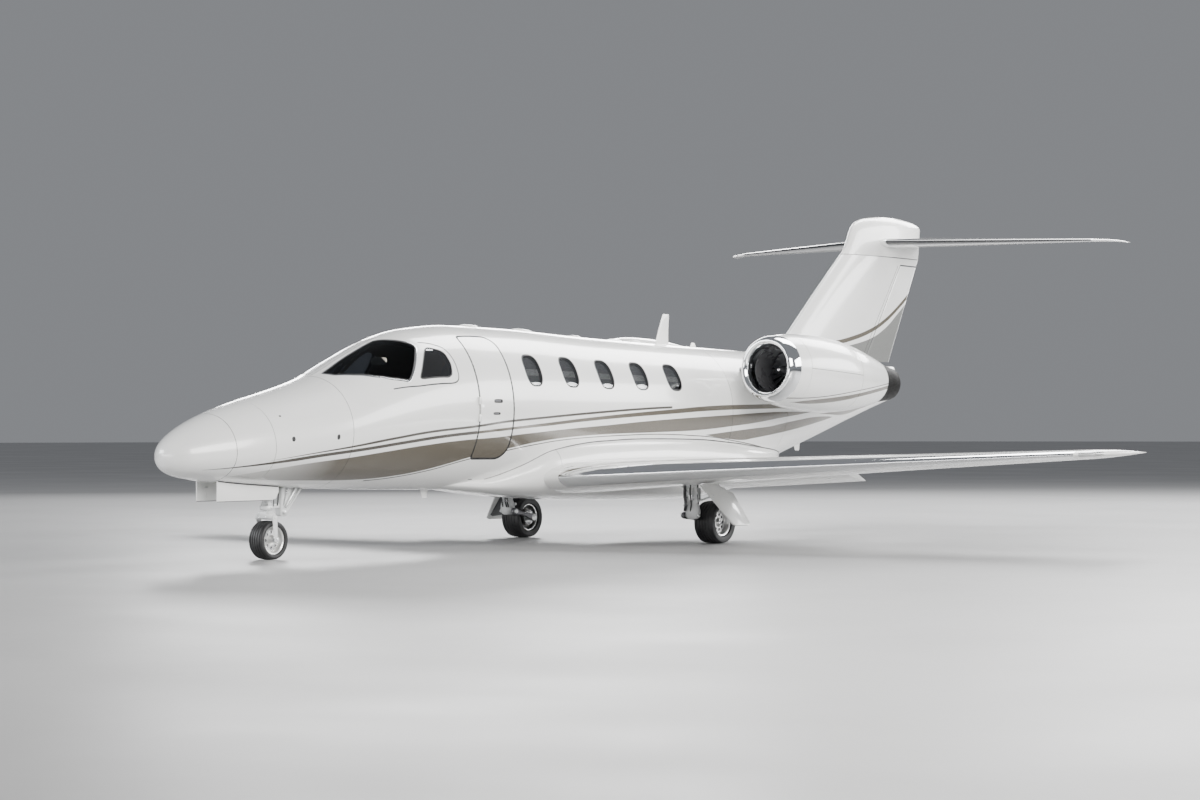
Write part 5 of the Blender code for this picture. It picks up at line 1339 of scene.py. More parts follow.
def lip_profile():
    points = [(LIP_DEPTH * (1 - math.sin(a)), LIP_RADIUS + 0.080 * math.cos(a))
              for a in np.radians(np.linspace(0, 90, 15))]
    points += [(0.14 * (1 - math.cos(a)), LIP_RADIUS - 0.070 * math.sin(a))
               for a in np.radians(np.linspace(8, 90, 12))]
    points.append((LIP_DEPTH, INTAKE_RADIUS))
    return [(min(a, LIP_DEPTH - GAP), r) for a, r in points]


def cowl_profile():
    """The nacelle's wall: its outside with a groove at each panel joint, and the duct within."""
    cowl_at = Table(COWL)
    outer = [(LIP_DEPTH + GAP, 0.4515), (0.203, 0.4556)]
    outer += [(a, float(cowl_at(a)[0])) for a in np.linspace(0.23, 2.60, 56)]
    for seam in COWL_SEAMS:
        outer = [p for p in outer if abs(p[0] - seam) > 0.012]
        radius = float(cowl_at(seam)[0])
        outer += [(seam + off, radius - depth)
                  for off, depth in ((-0.006, 0.0), (-0.0035, 0.006), (0.0035, 0.006), (0.006, 0.0))]
    duct = [(COWL_END, 0.300), (2.25, 0.400), (0.70, 0.400), (0.66, INTAKE_RADIUS),
            (LIP_DEPTH + GAP, INTAKE_RADIUS)]
    return sorted(outer) + [(2.612, 0.3215), (COWL_END, 0.318)] + duct


def fan_blade(angle):
    """One wide swept blade, twisted from hub to tip."""
    rings = []
    for k in range(8):
        t = k / 7
        radius = 0.070 + t * 0.219
        pitch = math.radians(28 + 34 * t)
        chord = 0.070 + 0.030 * math.sin(math.pi * min(t + 0.15, 1.0))
        sweep = 0.016 * t * t
        ring = []
        for part, off in aerofoil(12)[:-1]:
            a = (part - 0.5) * chord
            h = off * 0.0045 * (1.25 - 0.7 * t) + 0.006 * (1 - 4 * (part - 0.5) ** 2)
            along_axis = a * math.cos(pitch) + h * math.sin(pitch) + sweep
            round_hub = a * math.sin(pitch) - h * math.cos(pitch)
            turn = angle + round_hub / radius
            ring.append(Vector((radius * math.cos(turn), radius * math.sin(turn), 0.575 + along_axis)))
        rings.append(ring)
    return loft(rings)


def make_pods():
    nozzle = [(COWL_END + GAP, 0.284), (2.85, 0.250), (3.075, 0.223), (3.08, 0.226), (3.08, 0.232),
              (3.075, 0.235), (2.86, 0.268), (COWL_END + GAP, 0.308)]
    core = [(2.95, 0.0), (2.945, 0.015), (2.93, 0.030), (2.50, 0.150), (2.05, 0.270), (1.80, 0.3997),
            (0.95, 0.3997), (0.78, 0.290), (0.78, 0.050), (0.6203, 0.050), (0.6203, 0.0)]
    for side_name, side in SIDES:
        piece(f"inlet_lip_{side_name}_skin", [(pod_turn(side, lip_profile(), 128), "polished")],
              replaces=(f"inlet_lip_{side_name}",))
        cowl = piece(f"nacelle_{side_name}_skin",
                     [(pod_turn(side, cowl_profile(), 128), ("pod_paint", "duct_black", "seal"))],
                     replaces=(f"nacelle_{side_name}",))
        mark_cowl(cowl, side)
        piece(f"nozzle_{side_name}_skin", [(pod_turn(side, nozzle, 96), "hot_metal")],
              replaces=(f"nozzle_{side_name}",))
        vanes = []
        for turn in circle(36):
            vane = block((0.05, -0.03, -0.002), (0.29, 0.03, 0.002), 0.001, 1)
            moved(vane, Matrix.Translation((0, LENGTH / 2, 0)))
            place = (Matrix.Translation((0, 0.745, 0)) @ Matrix.Rotation(turn, 4, "Y")
                     @ Matrix.Rotation(0.5, 4, "X"))
            vanes.append(moved(vane, pod_matrix(side) @ place))
        piece(f"engine_{side_name}_core",
              [(pod_turn(side, core, 64, closed=False), "hot_metal"), (vanes, "duct_black")],
              replaces=(f"engine_{side_name}",))
        make_fan(side_name, side)
        make_pylon(side_name, side)


def pod_matrix(side):
    return Matrix.Translation(pod_front(side)) @ Matrix.Rotation(POD_TILT, 4, "X")


def mark_cowl(item, side):
    """Gives the faces that look at the pod's axis, and those in the joints, their own materials."""
    for face in item.data.polygons:
        away = face.center - pod_front(side)
        distance = away.dot(pod_axis())
        away -= pod_axis() * distance
        if face.normal.dot(away) < -0.2 * away.length:
            face.material_index = 1
        elif min(abs(distance - seam) for seam in COWL_SEAMS) < 0.0045:
            face.material_index = 2


def make_fan(side_name, side):
    hub = [(0.30, 0.0), (0.3015, 0.010), (0.312, 0.022), (0.335, 0.036), (0.38, 0.055), (0.44, 0.074),
           (0.50, 0.088), (0.56, 0.096), (0.60, 0.098), (0.62, 0.098), (0.62, 0.0)]
    turn = Vector((0, 0, 1)).rotation_difference(pod_axis()).to_matrix().to_4x4()
    place = Matrix.Translation(pod_front(side)) @ turn
    blades = [moved(fan_blade(angle), place) for angle in circle(20)]
    piece(f"fan_{side_name}_blades", [(blades, "fan_metal"), (pod_turn(side, hub, 64, False), "chrome")],
          body=f"fan_{side_name}", replaces=(f"fan_{side_name}",), angle=50.0)


def make_pylon(side_name, side):
    rings = []
    for t in np.linspace(0, 1, 9):
        x, front, rear = 0.45 + t * 0.75, PYLON_FRONT - 0.12 * (1 - t), PYLON_REAR + 0.15 * (1 - t)
        rings.append([(x, front + a * (rear - front), PYLON_Z + h * PYLON_THICKNESS / 2 - (a - 0.5) * 0.12)
                      for a, h in aerofoil(56)])
    cowl = [(-0.05, COWL[0][1])] + [(a, r + GAP) for a, r in COWL] + [(COWL_END, 0.0)]
    pylon = carved(loft(rings), body_envelope(9.9, 13.2), pod_turn(1, cowl, 64, closed=False))
    piece(f"pylon_{side_name}_skin", [(pylon, "white_paint")], replaces=(f"pylon_{side_name}",), side=side)


# Landing gear

def clamp(place, bore, radius, edge, height):
    """A ring round an upright bar."""
    return turned([(0, bore), (0, radius - edge), (0.002, radius), (height - 0.002, radius),
                   (height, radius - edge), (height, bore)], 40, place, (0, 0, 1))


def tyre_profile(radius, half, flange, grooves):
    """A tyre's section with rounded shoulders and ribbed tread."""
    def crown(across):
        return radius - 0.045 * radius * (across / half) ** 2

    points = [(-half * 0.70, flange - 0.008), (-half * 0.84, flange + 0.002), (-half * 0.95, flange + 0.012),
              (-half, (radius + flange) / 2), (-half * 0.985, radius - 0.022), (-half * 0.94, radius - 0.014),
              (-half * 0.86, crown(-half * 0.86))]
    for groove in grooves:
        for off, drop in ((-0.0065, 0.0), (-0.0048, 0.008), (0.0048, 0.008), (0.0065, 0.0)):
            across = groove * half + off
            points.append((across, crown(across) - drop))
    points += [(-x, r) for x, r in reversed(points[:7])]
    return points + [(half * 0.70, flange - 0.0135), (-half * 0.70, flange - 0.0135)]


def rim_profile(lip, flange, axle, hub, web):
    """A rim with a recess on its inboard side and a dished web near its outboard side."""
    return [(lip, flange - 0.002), (lip - 0.002, flange + 0.001), (lip - 0.006, flange + 0.001),
            (lip - 0.016, flange - 0.014), (0.016 - lip, flange - 0.014), (0.006 - lip, flange + 0.001),
            (0.002 - lip, flange + 0.001), (-lip, flange - 0.002), (0.002 - lip, flange - 0.012),
            (0.034 - lip, flange - 0.026), (web - 0.014, flange - 0.032), (web - 0.018, flange - 0.058),
            (web - 0.018, 0.056), (-hub, 0.050), (-hub, axle + 0.0015), (hub, axle + 0.0015), (hub, 0.034),
            (hub - 0.006, 0.040), (web + 0.014, 0.050), (web + 0.002, 0.062), (web, flange - 0.046),
            (web + 0.018, flange - 0.030), (lip - 0.010, flange - 0.022), (lip - 0.001, flange - 0.009)]


def make_wheel(name, x, s, sizes, side, grooves, holes):
    radius, half, flange, hub, axle = sizes
    lip, web = half * 0.80, half * 0.36
    centre, out = spot(x, s, radius), Vector((side, 0, 0))
    tyre = turned(tyre_profile(radius, half, flange, grooves), 96, centre, out)
    piece(f"{name}_tyre_ribbed", [(tyre, "tyre")], body=name,
          replaces=(f"{name}_tyre",))
    reach, through = (flange - 0.046 + 0.062) / 2, Vector((0.09, 0, 0))
    tools = []
    for a in circle(holes):
        place = Vector((x, s - LENGTH / 2 + reach * math.cos(a), radius + reach * math.sin(a)))
        tools.append(rod(place - through, place + through, flange * 0.105, 20, 0.0))
    rim = turned(rim_profile(lip, flange, axle, hub, web), 96, centre, out)
    rim = carved(rim, tagged(joined(*tools), 1))
    heads = bolt_ring(centre + out * (web + 0.001), out, flange - 0.053, 2 * holes, 0.0055, 0.004)
    cap = turned([(hub, 0.0345), (hub + 0.004, 0.033), (hub + 0.007, 0.026), (hub + 0.007, axle + 0.0015),
                  (hub, axle + 0.0015)], 48, centre, out)
    valve = rod(centre + out * (web + 0.012) + Vector((0, 0, 0.036 - flange)),
                centre + out * (web + 0.030) + Vector((0, 0, 0.042 - flange)), 0.003, 10)
    piece(f"{name}_rim_bolted", [(rim, ("wheel_metal", "gear_dark")), ([*heads, valve], "chrome"),
                                 (cap, "gear_metal")],
          body=name, replaces=(f"{name}_rim",))


def plate(outline, offset, bevel=0.003):
    """A flat panel: a polygon of points thickened both ways by an offset vector."""
    data = bmesh.new()
    front = [data.verts.new(world(point) + offset) for point in outline]
    back = [data.verts.new(world(point) - offset) for point in outline]
    data.faces.new(front)
    data.faces.new(list(reversed(back)))
    for i in range(len(outline)):
        j = (i + 1) % len(outline)
        data.faces.new((front[i], back[i], back[j], front[j]))
    bmesh.ops.recalc_face_normals(data, faces=data.faces)
    return bevelled(data, bevel, 2)


def link(start, end, width, thick, axis):
    """A flat bar with a round eye at each end."""
    across = (end - start).normalized().cross(axis) * width / 2
    bar = plate([start + across, end + across * 0.7, end - across * 0.7, start - across],
                axis * thick / 2, 0.002)
    eyes = [rod(p - axis * thick * 0.8, p + axis * thick * 0.8, width / 2 * 1.6 * k, 20)
            for p, k in ((start, 0.8), (end, 0.6))]
    return [bar, *eyes]


def make_nose_gear():
    make_wheel("nose_wheel", 0.0, NOSE_WHEEL_S, NOSE_WHEEL, 1, (-0.64, -0.32, 0.0, 0.32, 0.64), 8)
    make_nose_leg(STEER_S)
    make_fork(STEER_S, NOSE_WHEEL[0])
    make_brace()
    for side_name, side in SIDES:
        make_nose_door(side_name, side)


def make_nose_leg(s):
    """The strut with its collar, cross trunnion, steering rods, lamp and hoses."""
    collar = turned([(0, 0.0), (0, 0.060), (0.004, 0.066), (0.012, 0.079), (0.018, COLLAR_RADIUS),
                     (0.046, COLLAR_RADIUS), (0.052, 0.076), (0.058, 0.066), (0.089, 0.062), (0.089, 0.0)],
                    48, (0, s, 0.5753), (0, 0, 1), False)
    leg = [rod((0, s, 0.662), (0, s, 1.10), 0.050, 40), collar]
    leg += [clamp((0, s, z), 0.040, radius, 0.002, 0.014)
            for z, radius in ((0.70, 0.055), (0.83, 0.056), (0.95, 0.058))]
    reach = BAY_HALF_WIDTH - GAP
    parts = [rod((-reach, s, TRUNNION_Z), (reach, s, TRUNNION_Z), 0.030, 32)]
    parts += [rod((x - 0.012, s, TRUNNION_Z), (x + 0.012, s, TRUNNION_Z), 0.040, 32)
              for x in (-0.125, -0.062, 0.062, 0.125)]
    parts += [rod((x, s - 0.075, 0.80), (x, s + 0.035, 0.80), 0.019, 24) for x in (-0.052, 0.052)]
    parts.append(block((-0.075, s - 0.055, 0.765), (0.075, s - 0.040, 0.835), 0.004))
    parts += [bolt((sign * (COLLAR_RADIUS - 0.002), s, 0.607), (sign, 0, 0), 0.017, 0.010)
              for sign in (-1, 1)]
    parts.append(rod((0.030, s - 0.070, 0.640), (0.078, s - 0.045, 0.640), 0.013, 24))
    lamp = turned([(0, 0), (0, 0.030), (0.030, 0.042), (0.040, 0.044), (0.044, 0.042), (0.044, 0.037),
                   (0.036, 0.034), (0.036, 0)], 40, (0, s - 0.062, LAMP_Z), (0, -1, 0), False)
    lens = turned([(0, 0), (0, 0.036), (0.004, 0.034), (0.008, 0.022), (0.010, 0)], 40,
                  (0, s - 0.0985, LAMP_Z), (0, -1, 0), False)
    box = block((-0.024, s - 0.066, 0.845), (0.024, s - 0.040, 0.870), 0.004)
    route = ((0.040, 0.045, 1.08), (0.055, 0.055, 0.95), (0.066, 0.052, 0.80), (0.078, 0.040, 0.70),
             (0.086, 0.030, 0.62))
    pipes = [tube([(sign * x, s + aft, z) for x, aft, z in route], 0.006) for sign in (-1, 1)]
    pipes.append(tube([(0.03, s - 0.05, 1.0), (0.045, s - 0.065, 0.95), (0.035, s - 0.075, 0.90)], 0.003))
    piece("nose_leg_strut", [(leg, "strut_paint"), (parts, "gear_metal"), (lamp, "chrome"),
                             (lens, "clear_lens"), (box, "gear_dark"), (pipes, "hose")],
          replaces=("nose_leg",))


def make_fork(s, radius):
    """The fork's crown, arms and hubs, with its stem and axle."""
    rings = []
    for x in np.linspace(-FORK_OUT, FORK_OUT, 25):
        swell = min(1.0, max(0.0, 1 - (abs(x) / 0.118) ** 4))
        top, half = 0.516 + 0.052 * swell, 0.040 + 0.026 * swell
        ring = oval((s, (top + FORK_FOOT) / 2), (half, (top - FORK_FOOT) / 2), 0.5, 24)
        rings.append([(x, u, v) for u, v in ring])
    arms = [loft(rings)]
    for sign in (-1, 1):
        rings = []
        for k in np.linspace(0, 1, 9):
            place, z = s + (NOSE_WHEEL_S - s) * k, 0.505 + (radius - 0.505) * k
            half = 0.038 - 0.014 * k + 0.006 * math.sin(math.pi * k)
            x_out = FORK_OUT - 0.006 + 0.006 * math.cos(math.pi * (k - 0.1))
            ring = oval((sign * (FORK_IN + x_out) / 2, place), (sign * (x_out - FORK_IN) / 2, half), 1.0, 16)
            rings.append([(u, v, z) for u, v in ring])
        arms += [loft(rings),
                 rod((sign * (FORK_IN - 0.002), NOSE_WHEEL_S, radius),
                     (sign * (FORK_OUT + 0.002), NOSE_WHEEL_S, radius), 0.034, 32, 0.004),
                 bolt((sign * FORK_OUT, s, 0.488), (sign, 0, 0), 0.016, 0.006)]
    parts = [rod((0, s, 0.495), (0, s, 0.5747), 0.034, 40),
             rod((-FORK_AXLE, NOSE_WHEEL_S, radius), (FORK_AXLE, NOSE_WHEEL_S, radius), NOSE_WHEEL[4], 24)]
    parts += [bolt((sign * (FORK_OUT + 0.001), NOSE_WHEEL_S, radius), (sign, 0, 0), 0.024, 0.004)
              for sign in (-1, 1)]
    parts += [bolt((x, s - 0.062, z), (0, -1, 0), 0.011, 0.007) for x in (-0.055, 0.055)
              for z in (0.492, 0.540)]
    piece("nose_fork_cast", [(arms, "strut_paint"), (parts, "gear_metal")], body="nose_fork",
          replaces=("nose_fork",))


def make_nose_door(side_name, side):
    """One door of the nose gear bay with its ribs, hinge knuckles and dark strips of painted shade along its
    top and bottom edges.
    """
    outline = [(side * NOSE_DOOR_X, s, z) for s, z in ((0.705, 0.700), (1.600, 0.700), (1.655, 0.716),
                                                       (1.700, 0.790), (1.700, 1.10), (0.705, 1.10))]
    door = carved(plate(outline, Vector((0.007, 0, 0)), 0.0025), body_envelope(0.5, 2.0))
    ribs = [block((side * 0.150, s - 0.006, 0.720), (side * 0.158, s + 0.006, 0.790), 0.002)
            for s in (0.85, 1.10, 1.35)]
    hinges = [rod((side * 0.1535, s - 0.03, 0.855), (side * 0.1535, s + 0.03, 0.855), 0.006, 16)
              for s in (0.85, 1.10, 1.35, 1.60)]
    # A dark strip along the top edge, where the door meets the body: painted shade
    rows = []
    for s in np.linspace(0.712, 1.694, 24):
        z = float(body_under(s, NOSE_DOOR_OUTER)) - 0.0004
        rows.append([(side * (NOSE_DOOR_OUTER - in_by), s, z - drop)
                     for in_by, drop in ((0.004, 0.0), (0.0, 0.0), (0.0, 0.011), (0.004, 0.011))])
    # A dark strip along the bottom edge: painted shade under the door
    foot = [[(side * NOSE_DOOR_X + across, s, z) for across, z in
             ((-0.0045, 0.7015), (0.0045, 0.7015), (0.0035, 0.694), (-0.0035, 0.694))]
            for s in (0.712, 1.592)]
    piece(f"nose_gear_door_{side_name}_skin",
          [([door, *ribs], "white_paint"), ([loft(rows), loft(foot)], "seal"), (hinges, "gear_metal")],
          replaces=(f"nose_gear_door_{side_name}",))


def body_under(s, x):
    """The height of the body's underside at that half width."""
    low, _, half, wide = body_at(s)
    return wide - (wide - low) * np.sqrt(np.maximum(1 - (x / half) ** 2, 0.0))


def make_brace():
    """The brace behind the nose leg: a tapered casting with a pocket in each side and its lock rods."""
    rings = []
    for z, front, rear, half_x in ((0.500, 1.876, 1.950, 0.036), (0.512, 1.864, 1.968, 0.045),
                                   (0.660, 1.848, 2.078, 0.068), (0.905, 1.848, 2.270, 0.100)):
        ring = oval((0, (front + rear) / 2), (half_x, (rear - front) / 2), 0.35, 28)
        rings.append([(u, v, z) for u, v in ring])
    pockets, rods = [], []
    for sign in (-1, 1):
        pockets.append(loft([[(sign * x, s, z) for x, s in ((floor, 1.884), (0.2, 1.884), (0.2, rear),
                                                            (floor, rear))]
                             for z, floor, rear in ((0.590, 0.034, 1.982), (0.850, 0.058, 2.172))]))
        rods += [rod((sign * 0.052, 1.935, 0.600), (sign * 0.080, 2.105, 0.862), 0.014, 20),
                 rod((sign * 0.050, 1.905, 0.625), (sign * 0.074, 1.960, 0.862), 0.009, 16),
                 bolt((sign * 0.060, 1.912, 0.545), (sign, 0, 0), 0.019, 0.008),
                 bolt((sign * 0.104, 2.165, 0.835), (sign, 0, 0), 0.014, 0.007)]
    keep_out = rod((0, STEER_S, 0.4), (0, STEER_S, 1.2), COLLAR_RADIUS + GAP, 48, 0.0)
    brace = carved(loft(rings), *pockets, body_envelope(1.5, 2.6), keep_out.copy())
    lug = carved(block((-0.030, 1.70, 0.597), (0.030, 1.90, 0.648), 0.006), keep_out)
    pins = [rod((-0.062, 1.912, 0.545), (0.062, 1.912, 0.545), 0.024, 24),
            rod((-0.106, 2.165, 0.835), (0.106, 2.165, 0.835), 0.018, 24)]
    hose = tube([(0.030, 1.835, 0.88), (0.040, 1.826, 0.76), (0.046, 1.815, 0.67), (0.060, 1.79, 0.63)],
                0.008)
    piece("nose_brace_cast", [([brace, lug], "strut_paint"), (pins + rods, "gear_metal"), (hose, "hose")],
          replaces=("nose_brace",))


def wing_below():
    """The port wing's form, lowered by a gap, to cut what stands under it."""
    return moved(panel_loft(WING), Matrix.Translation((0, 0, -GAP)))


def make_main_gear():
    for side_name, side in SIDES:
        make_wheel(f"main_wheel_{side_name}", side * MAIN_WHEEL_X, MAIN_WHEEL_S, MAIN_WHEEL, side,
                   (-0.60, -0.30, 0.0, 0.30, 0.60), 9)
        make_main_leg(side_name, side)
        make_arm(side_name, side)
        make_main_door(side_name, side)


def make_main_leg(side_name, side):
    """A bottle-shaped casting under two posts, with the shock strut free between them."""
    head = carved(block((1.445, 7.838, 0.73), (1.606, 8.022, 0.98), 0.020, 3), wing_below())
    bulb = []
    for z, s, half_s, x_in, x_out in MAIN_BULB:
        ring = oval(((x_in + x_out) / 2, s), ((x_out - x_in) / 2, half_s), 0.8, 36)
        bulb.append([(u, v, z) for u, v in ring])
    cast = [head, loft(bulb), rod((1.484, 7.930, 0.53), (1.480, 7.925, 0.76), 0.020, 28),
            rod((1.617, 7.935, 0.53), (1.600, 7.930, 0.76), 0.022, 28)]
    for z in (0.600, 0.665):
        cast += [rod((1.600, 7.930, z), (1.628, 7.930, z), 0.028, 24),
                 rod((1.470, 7.927, z + 0.03), (1.494, 7.927, z + 0.03), 0.026, 24)]
    cast.append(rod((1.548, 7.940, 0.655), (1.545, 7.930, 0.76), 0.035, 40))
    cast += [clamp((1.548, 7.940, z), 0.025, 0.041, 0.003, 0.016) for z in (0.656, 0.71)]
    piston = rod((1.548, 7.942, 0.56), (1.548, 7.940, 0.67), 0.023, 32)
    parts = [rod((1.40, MAIN_LEG_S, MAIN_PIVOT_Z), (1.668, MAIN_LEG_S, MAIN_PIVOT_Z), 0.0235, 32),
             bolt((1.666, MAIN_LEG_S, MAIN_PIVOT_Z), (1, 0, 0), 0.024, 0.010),
             bolt((1.402, MAIN_LEG_S, MAIN_PIVOT_Z), (-1, 0, 0), 0.032, 0.012),
             bolt((1.470, 7.990, 0.470), (-1, 0, 0), 0.022, 0.016),
             bolt((1.470, 7.900, 0.455), (-1, 0, 0), 0.018, 0.014),
             rod((1.600, 7.960, 0.552), (1.795, 8.075, 0.628), 0.012, 20),
             rod((1.540, 7.862, 0.74), (1.545, 7.880, 0.53), 0.013, 20),
             rod((1.600, 7.960, 0.530), (1.600, 7.960, 0.574), 0.020, 20),
             rod((1.795, 8.075, 0.610), (1.795, 8.075, 0.648), 0.016, 20),
             plate([(1.634, 7.950, 0.735), (1.634, 8.010, 0.735), (1.634, 8.030, 0.575),
                    (1.634, 7.965, 0.555)], Vector((0.006, 0, 0)), 0.002)]
    hoses = [tube([(x, s + 0.02, 0.86), (x + 0.008, s - 0.012, 0.76), (x - 0.004, s, 0.64),
                   (x + 0.006, s + 0.004, 0.53), (x - 0.012, s + 0.012, 0.43)], 0.009)
             for x, s in ((1.492, 7.852), (1.520, 7.845), (1.590, 7.856), (1.606, 7.996))]
    clips = [block((1.484, 7.836, z), (1.532, 7.872, z + 0.016), 0.003) for z in (0.50, 0.60, 0.69)]
    piece(f"main_leg_{side_name}_strut",
          [(cast, "strut_paint"), (piston, "chrome"), (parts, "gear_metal"), (hoses, "hose"),
           (clips, "gear_dark")], replaces=(f"main_leg_{side_name}",), side=side)


def make_arm(side_name, side):
    """The trailing arm with its eye and axle, and the brake that it carries."""
    radius, axle = MAIN_WHEEL[0], MAIN_WHEEL[4]
    rings = []
    for k in np.linspace(0, 1, 13):
        place = MAIN_LEG_S + (MAIN_WHEEL_S - MAIN_LEG_S) * k
        z = MAIN_PIVOT_Z + (radius - MAIN_PIVOT_Z) * k + 0.004 * math.sin(math.pi * k)
        half = 0.036 + 0.010 * math.cos(2 * math.pi * k)
        rings.append([(u, place, v) for u, v in oval((1.4344, z), (0.019, half), 0.6, 20)])
    bore = rod((1.38, MAIN_LEG_S, MAIN_PIVOT_Z), (1.47, MAIN_LEG_S, MAIN_PIVOT_Z), 0.0245, 32, 0.0)
    eye = turned([(0, 0.0245), (0, 0.044), (0.003, 0.046), (0.0357, 0.046), (0.0387, 0.044),
                  (0.0387, 0.0245)], 40, (1.415, MAIN_LEG_S, MAIN_PIVOT_Z), (1, 0, 0))
    wheel = spot(MAIN_WHEEL_X, MAIN_WHEEL_S, radius)
    boss = rod((1.410, MAIN_WHEEL_S, radius), (1.520, MAIN_WHEEL_S, radius), 0.044, 36)
    pin = rod((1.50, MAIN_WHEEL_S, radius), (1.712, MAIN_WHEEL_S, radius), axle, 32)
    torque = turned([(-0.122, 0.030), (-0.122, 0.098), (-0.119, 0.101), (-0.110, 0.101), (-0.107, 0.098),
                     (-0.107, 0.030)], 48, wheel, (1, 0, 0))
    discs = []
    for k in range(4):
        a = -0.098 + 0.017 * k
        discs += [(a, 0.064), (a, 0.112), (a + 0.010, 0.112), (a + 0.010, 0.100)]
    stack = turned(discs + [(-0.040, 0.064)], 64, wheel, (1, 0, 0))
    cups = []
    for a in circle(6, 0.5):
        place = Vector((MAIN_WHEEL_X - 0.150, MAIN_WHEEL_S - LENGTH / 2 + 0.078 * math.cos(a),
                        radius + 0.078 * math.sin(a)))
        cups += [rod(place, place + Vector((0.034, 0, 0)), 0.016, 24), bolt(place, (-1, 0, 0), 0.007, 0.005)]
    line = tube([(1.470, 7.98, 0.420), (1.462, 8.08, 0.405), (1.466, 8.20, 0.370), (1.480, 8.275, 0.345)],
                0.005)
    piece(f"main_arm_{side_name}_cast",
          [([carved(loft(rings), bore), eye], "gear_dark"), ([boss, torque], "gear_metal"),
           ([pin, *cups], "chrome"), (stack, "brake_steel"), (line, "hose")],
          replaces=(f"main_arm_{side_name}",), side=side)


def make_main_door(side_name, side):
    normal = Vector((0.79, 0, 0.61))

    def at(x, s, lift=0.0):
        return spot(x, s, 0.880 - 1.29 * (x - 1.600)) - normal * lift

    door = carved(plate([at(x, s) for x, s in MAIN_DOOR], normal * 0.009, 0.003), wing_below())
    inner = [(1.70, 8.10), (1.70, 8.32), (1.80, 8.47), (2.04, 8.44), (2.055, 8.20), (2.04, 8.14)]
    # The inner pan is near-black: painted shade on the door's inner side
    pan = plate([at(x, s, 0.012) for x, s in inner], normal * 0.0035, 0.002)
    ribs = (link(at(1.66, 8.05, 0.016), at(1.86, 8.18, 0.016), 0.030, 0.012, normal.normalized())
            + link(at(1.66, 8.30, 0.016), at(1.84, 8.30, 0.016), 0.026, 0.012, normal.normalized()))
    piece(f"main_gear_door_{side_name}_skin",
          [(door, "white_paint"), (pan, "door_lining"), (ribs, "gear_metal")],
          replaces=(f"main_gear_door_{side_name}",), side=side)


# Cabin

def pad(low, high, corner=0.35, grid=14):
    """A crowned cushion between two corners given as (x, s, z), its sides pulled in between its corners."""
    a, b = spot(*low), spot(*high)
    data = bmesh.new()
    bmesh.ops.create_cube(data, size=2.0)
    bmesh.ops.subdivide_edges(data, edges=data.edges, cuts=grid, use_grid_fill=True)
    power = 2 / corner
    for vert in data.verts:
        u = vert.co.copy()
        u /= sum(abs(c) ** power for c in u) ** (1 / power)
        puff = 1.0 - 0.045 * (abs(u.x * u.y) + abs(u.y * u.z) + abs(u.x * u.z))
        vert.co = (a + b) / 2 + Vector([u[i] * (abs(b[i] - a[i]) / 2) * puff for i in range(3)])
    return data


def cabin_seat(x, s, facing):
    """Hard parts and cushions of one seat; facing is 1 when it looks forward."""
    low = FLOOR_TOP + GAP
    near, far = sorted((s + 0.15 * facing, s + 0.27 * facing))
    hard = [block((x - 0.16, s - 0.16, low), (x + 0.16, s + 0.16, low + 0.17), 0.015),
            block((x - 0.21, s - 0.24, low + 0.17), (x + 0.21, s + 0.24, low + 0.20), 0.010)]
    soft = [pad((x - 0.20, s - 0.245, low + 0.20), (x + 0.20, s + 0.215, low + 0.36)),
            pad((x - 0.20, near, low + 0.32), (x + 0.20, far, low + 0.80)),
            pad((x - 0.14, near, low + 0.79), (x + 0.14, far, low + 0.95))]
    for arm in (x - 0.215, x + 0.215):
        hard.append(block((arm - 0.022, s - 0.17, low + 0.20), (arm + 0.022, s + 0.17, low + 0.50), 0.012))
        soft.append(pad((arm - 0.028, s - 0.16, low + 0.49), (arm + 0.028, s + 0.15, low + 0.54), grid=8))
    return hard, soft


def make_seats(name, hard, places):
    """Seats at (x, s, facing) over the hard parts given: their frames and padded cushions."""
    soft = []
    for place in places:
        frames, cushions = cabin_seat(*place)
        hard += frames
        soft += cushions
    piece(f"{name}_frames", [(hard, "dark_plastic")])
    cushions = piece(f"{name}_cushions", [(soft, "leather")],
                     replaces=(f"{name}s",), angle=60.0)


